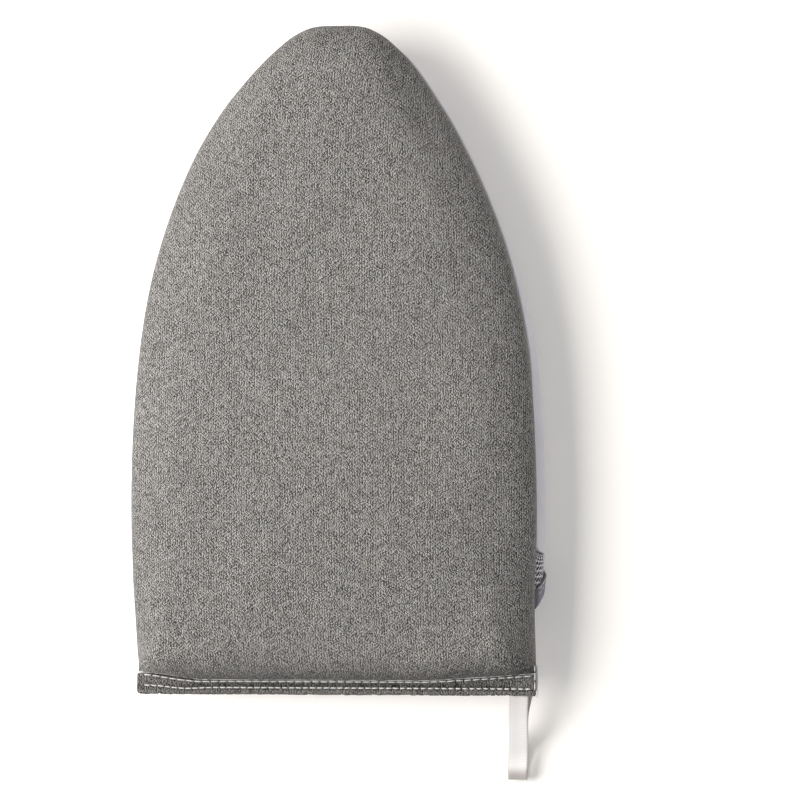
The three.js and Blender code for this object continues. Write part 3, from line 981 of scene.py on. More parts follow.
@dataclass(frozen=True)
class PadShape:
    """The pad's rounded form, as rings from its seam up to the middle line."""

    frame: Frame
    tuck: float = 0.9 * MM  # how far the seam is drawn in under the sides
    flank: float = 6 * MM  # how high the widest line is over the seam
    side_roll: float = 24 * MM  # how far the rounded edge reaches in from the sides
    end_roll: float = 12 * MM  # how far it reaches in from the hem
    crown: float = 3.8 * MM  # how much higher the middle is than the rounded edge
    exponent: float = 2.4  # how full the rounded edge is at the sides. 2 is an ellipse
    end_exponent: float = 2  # how full it is at the hem
    softness: float = 9 * MM  # how widely the corners over the hem are rounded
    soft_reach: float = 70 * MM  # how far from the hem they are

    def ring(self, edge: Edge, inset: Array, level: Array) -> Array:
        """A ring of points inside the pad's edge.

        Args:
            edge: the pad's edge.
            inset: how far in from the edge each point lies.
            level: its level before the crown is added.

        Returns:
            The points.
        """
        share = inset / edge.reach()
        crown = self.crown * (1 - (1 - share) ** 2)
        rise = mix(edge.rise, edge.spine_rise, share)
        return join(mix(edge.x, 0, share), self.frame.bottom + rise, level + crown)

    def rings(self, edge: Edge, sink: float, steps: tuple[int, int, int]) -> Array:
        """Rings of the skin that lies a given way under the cover's outside.

        Args:
            edge: the pad's edge.
            sink: how far under the outside the skin lies.
            steps: how many rings flank, rounded edge and crown have.

        Returns:
            An array of rings, points and coordinates.
        """
        flank_steps, roll_steps, crown_steps = steps
        widest = mix(self.frame.panel_top + self.flank, self.frame.hem_top, edge.hem_share)
        reach_in = mix(self.side_roll, self.end_roll, edge.hem_share) - sink
        height = self.frame.pad_top - self.crown - sink - widest
        made = []
        for angle in np.linspace(0, math.pi / 2, flank_steps, endpoint=False):
            inset = sink + self.tuck * (1 - edge.hem_share) * (1 - math.sin(angle))
            made.append(self.ring(edge, inset, mix(widest, self.frame.pad_floor, math.cos(angle))))
        power = 2 / mix(self.exponent, self.end_exponent, edge.hem_share)
        for angle in np.linspace(0, math.pi / 2, roll_steps + 1):
            inset = sink + reach_in * (1 - max(math.cos(angle), 0) ** power)
            made.append(self.ring(edge, inset, widest + height * math.sin(angle) ** power))
        for share in np.linspace(0, 1, crown_steps + 1)[1:]:
            made.append(self.ring(edge, mix(sink + reach_in, edge.reach(), share), widest + height))
        start, full = flank_steps * 0.7, flank_steps + roll_steps * 0.4
        return self.softened(np.array(made), edge, start, full)

    def softened(self, rings: Array, edge: Edge, start: float, full: float) -> Array:
        """Rounds the corners of the rings near the hem, more and more towards the crown.

        Args:
            rings: the rings.
            edge: the pad's edge.
            start: the last ring that keeps its corners.
            full: the first ring that is rounded fully.

        Returns:
            The rounded rings.
        """
        spacing = np.hypot(np.diff(edge.x), np.diff(edge.rise)).mean()
        near_hem = smooth(self.soft_reach - edge.rise, 0, self.soft_reach * 0.7)
        share = near_hem[None, :] * smooth(np.arange(len(rings)), start, full)[:, None]
        for _ in range(int(2 * (self.softness / spacing) ** 2)):
            middle = (np.roll(rings, 1, axis=1) + np.roll(rings, -1, axis=1) + 2 * rings) / 4
            rings = mix(rings, middle, share[..., None])
        return rings

    def places(self, rings: Array, flat_from: int) -> Array:
        """Where the points lie on the flat cloth: as they are seen from the front on the crown, and
        rolled out flat beyond it.

        Args:
            rings: the skin's rings.
            flat_from: number of the ring at which the crown starts.

        Returns:
            Places across and along the cloth.
        """
        flat = rings[..., :2].copy()
        out = rings[0, :, :2] - rings[flat_from, :, :2]
        out /= np.maximum(np.linalg.norm(out, axis=-1, keepdims=True), TINY)
        for k in range(flat_from - 1, -1, -1):
            step = np.linalg.norm(rings[k] - rings[k + 1], axis=-1, keepdims=True)
            flat[k] = flat[k + 1] + out * step
        return flat


@dataclass(frozen=True)
class Inflation:
    """Blows a domed cloth out between its seams, by cloth simulation."""

    start: float = 0.97  # height of the simulated cloth at first, as a share of its shape's height
    pressure: float = 4
    spare: float = 0.02  # how much larger the cloth is cut than its shape, as a share
    frames: int = 20  # how many frames are run
    cap: float = 0.7 * MM  # how far a point may end from the shape
    stride: int = 2  # how many rings and points of the shape one step of the simulated cloth takes

    def run(self, rings: Array, held_rings: int) -> Array:
        """Simulates the cloth.

        Args:
            rings: the shape, as rings of points from its seam to its middle line.
            held_rings: how many rings from the seam stay where they are.

        Returns:
            How far each point of the shape moves.
        """
        coarse = rings[::self.stride, ::self.stride]
        flat = coarse.reshape(-1, 3)
        keys = np.round(flat / (0.05 * MM)).astype(int)
        _, first, back = np.unique(keys, axis=0, return_index=True, return_inverse=True)
        back = np.ravel(back)
        grid = back.reshape(coarse.shape[:2])
        low = flat[:, 2].min()
        points = flat[first].copy()
        points[:, 2] = low + (points[:, 2] - low) * self.start
        held = sorted(set(grid[:held_rings].ravel().tolist()))
        moved = self.simulated(points, self.faces(grid), held)
        shift = (moved[back] - flat).reshape(coarse.shape)
        size = np.linalg.norm(shift, axis=-1, keepdims=True)
        shift *= np.minimum(1, self.cap / np.maximum(size, TINY))
        return self.spread(shift, rings.shape[:2])

    def faces(self, grid: Array) -> list[tuple[int, ...]]:
        """Faces of a closed grid of point numbers, without the doubled points of its middle line.

        Args:
            grid: rings of point numbers.

        Returns:
            Each face's point numbers.
        """
        grid = np.concatenate([grid, grid[:, :1]], axis=1)
        corners = np.stack([grid[:-1, :-1], grid[:-1, 1:], grid[1:, 1:], grid[1:, :-1]], axis=-1)
        found = [tuple(dict.fromkeys(face)) for face in corners.reshape(-1, 4).tolist()]
        return [face for face in found if len(face) > 2]

    def simulated(self, points: Array, faces: list[tuple[int, ...]], held: list[int]) -> Array:
        """Runs Blender's cloth on a mesh.

        Args:
            points: the mesh's points.
            faces: its faces.
            held: numbers of the points that stay where they are.

        Returns:
            Where the points end.
        """
        mesh = bpy.data.meshes.new("inflated")
        mesh.from_pydata(points.tolist(), [], faces)
        if sum(polygon.normal.z * polygon.area for polygon in mesh.polygons) < 0:
            mesh.flip_normals()
        cloth = placed("inflated", mesh)
        scene = bpy.context.scene
        pinned = cloth.vertex_groups.new(name="held")
        pinned.add(held, 1.0, "REPLACE")
        modifier = cloth.modifiers.new("cloth", "CLOTH")
        settings = modifier.settings
        settings.quality = 5
        settings.mass = 0.15
        settings.tension_stiffness = settings.compression_stiffness = 15
        settings.bending_stiffness = 0.3
        settings.use_pressure = True
        settings.uniform_pressure_force = self.pressure
        settings.shrink_min = -self.spare
        settings.vertex_group_mass = pinned.name
        settings.effector_weights.gravity = 0
        modifier.collision_settings.use_collision = False
        modifier.point_cache.frame_start, modifier.point_cache.frame_end = 1, self.frames
        for number in range(1, self.frames + 1):
            scene.frame_set(number)
        shown = cloth.evaluated_get(bpy.context.evaluated_depsgraph_get()).data
        moved = np.empty(len(points) * 3, np.float32)
        shown.vertices.foreach_get("co", moved)
        bpy.data.objects.remove(cloth)
        bpy.data.meshes.remove(mesh)
        scene.frame_set(1)
        return moved.reshape(-1, 3).astype(float)

    def spread(self, shift: Array, shape: tuple[int, int]) -> Array:
        """Brings moves of a coarse closed grid to the fine grid it was taken from.

        Args:
            shift: the coarse grid's moves.
            shape: how many rings and points the fine grid has.

        Returns:
            The fine grid's moves.
        """
        closed = np.concatenate([shift, shift[:, :1]], axis=1)
        row = np.minimum(np.arange(shape[0]) / self.stride, len(shift) - 1)
        column = np.arange(shape[1]) * (len(closed[0]) - 1) / shape[1]
        r, c = np.minimum(row.astype(int), len(shift) - 2)[:, None], column.astype(int)[None, :]
        down, across = row[:, None, None] - r[..., None], column[None, :, None] - c[..., None]
        upper = mix(closed[r, c], closed[r, c + 1], across)
        lower = mix(closed[r + 1, c], closed[r + 1, c + 1], across)
        return mix(upper, lower, down)


@dataclass
class SubAssembly:
    """A group of pieces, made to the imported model's sizes."""

    frame: Frame
    finishes: Finishes

    def dress(self, skin: Skin, node: str, slot: Slot) -> Object:
        """Makes a piece that stands for a CAD node, and hangs it on the glove.

        Args:
            skin: the piece's mesh.
            node: the CAD node that it replaces.
            slot: the piece's material slot.

        Returns:
            The piece.
        """
        made = tidy(skin.piece(f"{node}_cloth", self.finishes.by_slot[slot]))
        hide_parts(node)
        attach(made, GLOVE_BODY)
        return made


@dataclass
class Pad(SubAssembly):
    """The padded front: cover, metallised barrier, felt, sponge and the cloth that closes the back."""

    # How many rings flank, rounded edge and crown of the cover have
    steps: tuple[int, int, int] = (6, 18, 26)
    inner_steps: tuple[int, int, int] = (3, 8, 8)  # the same for the layers under the cover
    cover_thickness: float = 1.2 * MM
    barrier_sink: float = 1.7 * MM  # how far under the cover's outside the barrier lies
    barrier_thickness: float = 0.5 * MM
    felt_sink: float = 2.7 * MM  # how far under the cover's outside the felt lies
    felt_thickness: float = 3 * MM
    foam_sink: float = 6.2 * MM  # how far under the cover's outside the sponge lies
    seam_edge: float = 0.9 * MM  # how far the back cloth's edge shows beside the upper seams
    # Where it starts to show and shows fully, and where it starts to fade and is gone
    seam_edge_rises: tuple[float, ...] = (95 * MM, 130 * MM, 238 * MM, 247 * MM)
    free_rings: int = 10  # over how many rings from the flank the cover becomes free to swell
    # Usual length and height of the soft swells and of the smaller ones on them
    swells: tuple[Pair, ...] = ((46 * MM, 0.22 * MM), (15 * MM, 0.05 * MM))
    pucker_pitch: float = 3.7 * MM  # from one pucker at the hem to the next
    pucker_depth: float = 0.34 * MM
    pucker_reach: float = 3.6 * MM  # how far from the hem they reach
    shape: PadShape = field(init=False)
    edge: Edge = field(init=False)

    def __post_init__(self) -> None:
        """Takes the pad's form and the cover's edge from the frame."""
        self.shape = PadShape(self.frame)
        self.edge = self.frame.outline.loop(110, 90)

    def build(self) -> None:
        """Makes every layer of the pad."""
        self.cover()
        self.layer("heat_barrier", self.barrier_sink, self.barrier_thickness, Slot.FILM)
        self.layer("felt_layer", self.felt_sink, self.felt_thickness, Slot.FELT)
        self.foam()
        self.back_panel()

    def free(self, rings: Array) -> Array:
        """How free each ring of the cover is, from 0 at the flank to 1."""
        return smooth(np.arange(len(rings)), self.steps[0], self.steps[0] + self.free_rings)

    def relief(self, rings: Array) -> Array:
        """How far the cloth stands out of its plain shape: soft swells, and puckers at the seams.

        Args:
            rings: the cover's rings.

        Returns:
            One height a point.
        """
        x, y = rings[..., 0], rings[..., 1]
        swell = sum(Waves(3 + k, length).at(x, y) * height for k, (length, height) in enumerate(self.swells))
        above = y - self.frame.bottom - self.frame.outline.hem_height_at(x)
        phase = Waves(5, 22 * MM).at(x, y) * 1.3
        pucker = np.sin(x / self.pucker_pitch * TURN + phase) * 0.5 + 0.5
        size = 0.3 + 0.35 * (Waves(6, 12 * MM).at(x, y * 0) + 1)
        fade = np.exp(-np.maximum(above, 0) / self.pucker_reach)
        at_hem = -pucker * size * self.pucker_depth * fade
        past_seam = smooth(np.arange(len(rings)), 0, 9)[:, None]
        return swell * self.free(rings)[:, None] + at_hem * self.edge.hem_share * past_seam

    def painted_shade(self, rings: Array) -> Array:
        """How much shade is painted onto the cover along the hem, round the tip and lower down.

        Args:
            rings: the cover's rings.

        Returns:
            One value a point.
        """
        x, rise = rings[..., 0], rings[..., 1] - self.frame.bottom
        above = rise - self.frame.outline.hem_height_at(x)
        # Painted shade in the groove above the hem: less at the lit left corner, more on the right, away
        # from the lamp
        from_left = mix(0.3, 1, smooth(x, -75 * MM, -45 * MM))
        to_right = 0.4 * smooth(x, 30 * MM, 70 * MM)
        at_hem = 0.21 * bell(above, 4.2 * MM) * (from_left + to_right)
        in_groove = 0.06 * bell(above, 4 * MM) + 0.16 * bell(above, 1.6 * MM)
        in_groove = in_groove * smooth(x, -74 * MM, -60 * MM)
        # Painted shade that grows towards the bottom, where the lamp's light falls off
        falloff_shade = 0.032 * smooth(-rise, -120 * MM, -30 * MM)
        inward = np.linalg.norm((rings - rings[:1])[..., :2], axis=-1)
        # Painted shade round the tip, whose slope faces away from the light
        at_tip = 0.06 * bell(inward, 6 * MM) * smooth(rise, 222 * MM, 243 * MM)
        return at_hem + in_groove + at_tip + falloff_shade

    def cover(self) -> None:
        """Makes the grey cloth over the pad."""
        outer = self.shape.rings(self.edge, 0, self.steps)
        inner = self.shape.rings(self.edge, self.cover_thickness, self.steps)
        flat = self.shape.places(outer, self.steps[0] + self.steps[1])
        # The third number of each place is the painted shade
        places = np.concatenate([flat, self.painted_shade(outer)[..., None]], axis=-1)
        lift = self.relief(outer)[..., None] * -normals(outer, closed=True)
        lift[-1] = np.array([0.0, 0.0, 1.0]) * np.mean(lift[-2, :, 2])
        began = time.monotonic()
        lift = lift + Inflation().run(outer, 3) * self.free(outer)[:, None, None]
        LOG.info("front_cover: simulated in %.1f s", time.monotonic() - began)
        skin = Skin()
        shell(skin, outer + lift, inner, places, closed=True)
        self.dress(skin, "front_cover", Slot.HEATHER)

    def layer(self, node: str, sink: float, thickness: float, slot: Slot) -> None:
        """Makes a domed layer under the cover.

        Args:
            node: the CAD node that it replaces.
            sink: how far under the cover's outside it lies.
            thickness: its thickness.
            slot: its material slot.
        """
        edge = self.frame.outline.loop(60, 40)
        outer = self.shape.rings(edge, sink, self.inner_steps)
        inner = self.shape.rings(edge, sink + thickness, self.inner_steps)
        skin = Skin()
        flat = self.shape.places(outer, self.inner_steps[0] + self.inner_steps[1])
        shell(skin, outer, inner, flat, closed=True)
        self.dress(skin, node, slot)

    def foam(self) -> None:
        """Makes the sponge core."""
        edge = self.frame.outline.loop(60, 40)
        dome = self.shape.rings(edge, self.foam_sink, self.inner_steps)
        under = dome.copy()
        under[..., 2] = dome[0, :, 2].min()
        places = self.shape.places(dome, self.inner_steps[0] + self.inner_steps[1])
        flank = self.inner_steps[0]
        skin = Skin()
        top, bottom = skin.add(dome, places), skin.add(under, places)
        skin.quads(top, closed=True)
        skin.quads(bottom[flank:], closed=True, turned=True)
        skin.quads(np.stack([bottom[flank], top[0]]), closed=True)
        self.dress(skin, "foam_pad", Slot.SPONGE)

    def back_panel(self) -> None:
        """Makes the white cloth that closes the back of the pad."""
        edge = self.frame.outline.loop(90, 60)
        start, full, fade, gone = self.seam_edge_rises
        shows = smooth(edge.rise, start, full) * (1 - smooth(edge.rise, fade, gone))
        tuck = self.shape.tuck * (1 - edge.hem_share) - self.seam_edge * shows
        flat = PadShape(self.frame, crown=0)
        upper = np.array([
            flat.ring(edge, mix(tuck, edge.reach(), share), np.full_like(edge.x, self.frame.panel_top))
            for share in np.linspace(0, 1, 12)
        ])
        lower = upper - (0, 0, self.frame.panel_top - self.frame.panel_under)
        skin = Skin()
        shell(skin, upper, lower, upper[..., :2], closed=True)
        self.dress(skin, "back_panel", Slot.KNIT)


@dataclass(frozen=True)
class Strip:
    """One folded strip of the hem."""

    node: str
    slot: Slot
    start: float  # x of its left end
    end: float  # x of its right end
    low: float  # level of its underside
    high: float  # level of its face
    lift: float  # rise of its bottom edge
    grey: bool  # whether it is the front's strip, whose bottom edge is frayed


@dataclass
class Hem(SubAssembly):
    """The folded strips along the bottom edge, with two rows of stitches."""

    face_rows: int = 24  # how many rows of points a strip's face has
    start_gap: float = 0.7 * MM  # how far the grey strip stops short of the CAD one's left end
    ear_height: float = 3.4 * MM  # how much higher the white strip's rounded right end is
    end_round: float = 2.2 * MM  # how far from the left end the strip is rounded
    end_cuts: Pair = (0.4 * MM, 1.1 * MM)  # how far its upper and its lower edge are cut back there
    end_thin: float = 0.3  # share of the thickness that the end loses
    rag: Pair = (1.6 * MM, 0.16 * MM)  # usual length and depth of the fringe on the bottom edge
    sway: Pair = (26 * MM, 0.18 * MM)  # usual length and depth of the bottom edge's bends
    upper_pitch: float = 3.2 * MM  # length of an upper stitch with its gap
    lower_pitch: float = 2.65 * MM  # length of a lower stitch with its gap
    lower_rise: float = 2.5 * MM  # rise of the lower row in the middle
    press_depth: float = 0.35 * MM
    end: float = field(init=False)  # from the middle to the side seam

    def __post_init__(self) -> None:
        """Takes the place of the side seam from the frame."""
        self.end = float(self.frame.outline.half_width_at(0))

    def build(self) -> None:
        """Makes both strips and their stitches."""
        low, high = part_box("bottom_hem")
        start = low.x + self.start_gap
        self.strip(Strip("bottom_hem", Slot.HEATHER, start, high.x, low.z, high.z, -0.35 * MM, True))
        low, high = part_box("back_hem")
        end = high.x - 1.1 * MM
        self.strip(Strip("back_hem", Slot.KNIT, low.x, end, low.z, high.z, 0.5 * MM, False))
        self.rows()
        self.corner()

    def upper_row(self, x: Array) -> Array:
        """Rise of the upper stitches, just under the hem's upper edge.

        Args:
            x: places across the glove.

        Returns:
            One rise a place.
        """
        wave = 0.35 * MM * np.sin((x + self.end) / (8.6 * MM)) * smooth(-x, 45 * MM, 66 * MM)
        sink = mix(0.38 * MM, 0.55 * MM, smooth(np.abs(x), 30 * MM, 60 * MM))
        return self.frame.outline.hem_height_at(x) - sink - wave

    def lower_row(self, x: Array) -> Array:
        """Rise of the lower stitches, which dips and climbs a little near the left end."""
        lift = 0.8 * MM * smooth(-x, 52 * MM, 75 * MM) - 0.05 * MM * smooth(x, 52 * MM, 75 * MM)
        return self.lower_rise + lift - 0.5 * MM * bell(x + 58 * MM, 7 * MM)

    def painted_shade(self, x: Array, rise: Array, top: Array) -> Array:
        """How much shade is painted onto the strip: under its upper edge, above and below its lower
        stitches, less a painted highlight along the fold at its bottom edge.

        Args:
            x: places across the glove.
            rise: their rises.
            top: rise of the strip's upper edge there.

        Returns:
            One value a point.
        """
        over_row = rise - self.lower_row(x)
        # Painted shade in the groove under the strip's upper edge, and beside the lower stitches
        lip = 0.24 * bell(top - rise, 0.75 * MM) * smooth(x, -74 * MM, -60 * MM)
        above = 0.3 * bell(over_row - 0.85 * MM, 0.7 * MM) * smooth(x, -70 * MM, -56 * MM)
        below = 0.15 * bell(over_row + 0.6 * MM, 0.4 * MM)
        # A painted highlight along the fold at the bottom edge
        fold = 0.07 * bell(rise - 0.95 * MM, 0.4 * MM)
        lip = lip * (1 - smooth(x, 66 * MM, 72 * MM))
        above = above * (1 - smooth(x, 63 * MM, 68 * MM))
        return lip + above + below - fold

    def press(self, x: Array, rise: Array) -> Array:
        """How deep the stitches pull the cloth in.

        Args:
            x: places across the glove.
            rise: their rises.

        Returns:
            One depth a point.
        """
        depth = np.zeros(np.broadcast(x, rise).shape)
        for row, pitch in ((self.upper_row, self.upper_pitch), (self.lower_row, self.lower_pitch)):
            bite = 0.72 + 0.28 * np.cos(x / pitch * TURN)
            depth = np.maximum(depth, bell(rise - row(x), 0.75 * MM) * bite)
        return depth * self.press_depth

    def edges(self, strip: Strip, x: Array) -> tuple[Array, Array, Array]:
        """The upper and the bottom edge of a strip.

        Args:
            strip: the strip.
            x: places across the glove.

        Returns:
            Their rises, and how far each place is cut back by the rounded left end, from 0 to 1.
        """
        seam = self.end + 0.15 * MM
        past = x * 0 if strip.grey else np.clip((x - seam) / (strip.end - seam), 0, 1)
        ear = np.sqrt(np.clip(1 - (2 * past - 1) ** 2, 0, 1)) * self.ear_height
        from_start = np.clip((x - strip.start) / self.end_round, 0, 1)
        cut = 1 - np.sqrt(1 - (1 - from_start) ** 2)
        top = self.frame.outline.hem_height_at(x) + ear - cut * self.end_cuts[0]
        rag = Waves(11, self.rag[0], 20).at(x, x * 0) * self.rag[1] if strip.grey else x * 0
        sway = Waves(12, self.sway[0]).at(x, x * 0) * self.sway[1]
        bottom = strip.lift + np.abs(rag) + np.abs(sway) * 0.4 + past**2 * (2.4 * MM)
        return top, bottom + cut * self.end_cuts[1], cut

    def face_level(
        self, strip: Strip, x: Array, rise: Array, top: Array, cut: Array
    ) -> Array:
        """Levels of a strip's face, pressed in by the stitches and a little uneven.

        Args:
            strip: the strip.
            x: places across the glove.
            rise: the rises of the face's points.
            top: rise of the upper edge.
            cut: how far each place is cut back by the rounded left end.

        Returns:
            One level a point.
        """
        level = strip.high - self.press(x, rise) * (1 if strip.grey else 0.3)
        edge_soft = smooth(top - rise, -0.1 * MM, 0.8 * MM)
        level = strip.low + (level - strip.low) * mix(0.8, 1, edge_soft)
        swell = Waves(13, 7 * MM).at(x + rise, rise) * (0.12 * MM if strip.grey else 0.03 * MM)
        thinned = cut * self.end_thin * (strip.high - strip.low)
        return np.minimum(level + swell * edge_soft, strip.high + 0.25 * MM) - thinned

    def strip(self, strip: Strip) -> None:
        """Makes one folded strip.

        Args:
            strip: its ends, levels and finish.
        """
        seam = min(self.end, strip.end - 0.1 * MM)
        x = np.concatenate([
            np.linspace(strip.start, seam, 260)[:-1], np.linspace(seam, strip.end, 18)
        ])[:, None]
        top, bottom, cut = self.edges(strip, x)
        fold = (strip.high - strip.low) / 2
        around = np.linspace(0, math.pi, 9)[None, 1:-1]
        rise_face = mix(top, bottom + fold, np.linspace(0, 1, self.face_rows)[None, :])
        level_face = self.face_level(strip, x, rise_face, top, cut)
        rise_fold = bottom + fold - fold * np.sin(around)
        level_fold = strip.low + fold * (1 + np.cos(around)) * (1 - cut * self.end_thin)
        rise_under = mix(bottom + fold, top, np.linspace(0, 1, 5)[None, :])
        level_under = np.full_like(rise_under, strip.low)
        rise = np.concatenate([rise_face, rise_fold, rise_under], axis=1)
        level = np.concatenate([level_face, level_fold, level_under], axis=1)
        wide = np.broadcast_to(x, rise.shape)
        section = join(wide, self.frame.bottom + rise, level)
        walked = np.cumsum(np.linalg.norm(np.diff(section, axis=1, prepend=section[:, :1]), axis=-1), axis=1)
        places = [wide, self.frame.bottom + top - walked]
        if strip.grey:
            # The grey strip's places carry its painted shade and highlight
            places.append(self.painted_shade(x, rise, top) * (np.arange(rise.shape[1]) < self.face_rows))
        skin = Skin()
        skin.tube(section, np.stack(places, axis=-1))
        made = self.dress(skin, strip.node, strip.slot)
        if strip.grey:
            # The grey strip takes the darker copy of the cloth, which paints the hem's shade
            made.data.materials[0] = self.finishes.hem

    def rows(self) -> None:
        """Makes the two rows of stitches on the front."""
        reach = self.end - 1.2 * MM
        x = np.linspace(self.start_gap - reach, reach, 900)
        for name, row, stitch in (
            ("hem_stitches_upper", self.upper_row, Stitch(self.upper_pitch, 0.95, 0.26 * MM)),
            ("hem_stitches_lower", self.lower_row, Stitch(self.lower_pitch, 0.84, 0.25 * MM)),
        ):
            rise = row(x)
            level = self.frame.hem_top - self.press(x, rise) + 0.2 * MM
            path = join(x, self.frame.bottom + rise, level)
            stitch.row(name, path, np.broadcast_to((0.0, 0.0, 1.0), path.shape), self.finishes)

    def corner(self) -> None:
        """Makes the thread up the right end of the hem, and the small roll of cloth below it."""
        rise = np.linspace(1.8 * MM, 11.8 * MM, 60)
        over = smooth(rise, 7.5 * MM, 10 * MM)
        level = self.frame.hem_top + mix(0, 1.6 * MM, over)
        line = join(self.end + mix(0, 0.05 * MM, over), self.frame.bottom + rise, level)
        outwards = np.broadcast_to((0.75, 0.0, 0.66), line.shape)
        Stitch(3.3 * MM, 0.97, 0.24 * MM).row("hem_end_stitches", line, outwards, self.finishes)
        place = np.linspace(0, 1, 30)
        roll = join(
            self.end + mix(0.85 * MM, 0.7 * MM, place),
            self.frame.bottom + mix(-0.9 * MM, 2.6 * MM, place),
            np.full(len(place), self.frame.pad_floor + 0.5 * MM),
        )
        upwards = np.broadcast_to((0.0, 0.0, 1.0), roll.shape)
        Stitch(3.4 * MM, 1, 0.55 * MM).row("hem_end_roll", roll, upwards, self.finishes)


@dataclass(frozen=True)
class Stitch:
    """One kind of stitch."""

    pitch: float  # from one stitch to the next
    share: float  # how much of the pitch a stitch fills
    radius: float  # half the thread's thickness
    flatness: float = 0.8  # height of the thread as a share of its width
    slant: float = 0.12  # how far a stitch turns aside at most, as a share of the thread's thickness

    def row(self, name: str, path: Array, up: Array, finishes: Finishes) -> None:
        """Makes a row of stitches along a line on the cloth, as a piece that rides on the glove.

        Args:
            name: the piece's name.
            path: points of the line.
            up: the cloth's normal at each point.
            finishes: the materials.
        """
        walked = arc(path)
        count = max(int(walked[-1] / self.pitch), 1)
        centre = (np.arange(count) + 0.5) * walked[-1] / count
        draw = np.random.default_rng(len(name))
        length = self.pitch * self.share * draw.uniform(0.9, 1.06, count)
        station = np.linspace(-1, 1, 9)
        at = centre[:, None] + station[None, :] * length[:, None] / 2
        place = np.stack([np.interp(at, walked, path[:, k]) for k in range(3)], axis=-1)
        rise_way = np.stack([np.interp(at, walked, up[:, k]) for k in range(3)], axis=-1)
        tangent = np.gradient(place, axis=1)
        tangent /= np.linalg.norm(tangent, axis=-1, keepdims=True)
        side = np.cross(tangent, rise_way)
        body = np.sqrt(np.clip(1 - np.abs(station) ** 3, 0, 1))[None, :, None]
        height = (body * 1.5 - 0.75) * self.radius
        turned = draw.uniform(-self.slant, self.slant, count)[:, None, None] * station[None, :, None]
        middle = place + rise_way * height + side * turned * self.radius * 2
        angle = np.linspace(0, TURN, 8, endpoint=False)
        thick = self.radius * np.maximum(body, 0.25)[..., None, :]
        ring = (
            middle[:, :, None, :]
            + side[:, :, None, :] * np.cos(angle)[None, None, :, None] * thick
            + rise_way[:, :, None, :] * np.sin(angle)[None, None, :, None] * thick * self.flatness
        )
        skin = Skin()
        for k in range(count):
            flat = np.stack(np.broadcast_arrays(angle[None, :] * self.radius, at[k][:, None]), axis=-1)
            grid = skin.add(ring[k], flat)
            skin.quads(grid, closed=True)
            skin.faces.append(tuple(grid[0].tolist()[::-1]))
            skin.faces.append(tuple(grid[-1].tolist()))
        made = tidy(skin.piece(name, finishes.thread), weld=0.001 * MM)
        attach(made, GLOVE_BODY)
        LOG.info("%s: %d stitches", name, count)


def bezier_weights(t: Array) -> tuple[Array, Array, Array, Array]:
    """The shares of the four knots of a cubic curve, t of the way along it."""
    return (1 - t) ** 3, 3 * (1 - t) ** 2 * t, 3 * (1 - t) * t**2, t**3


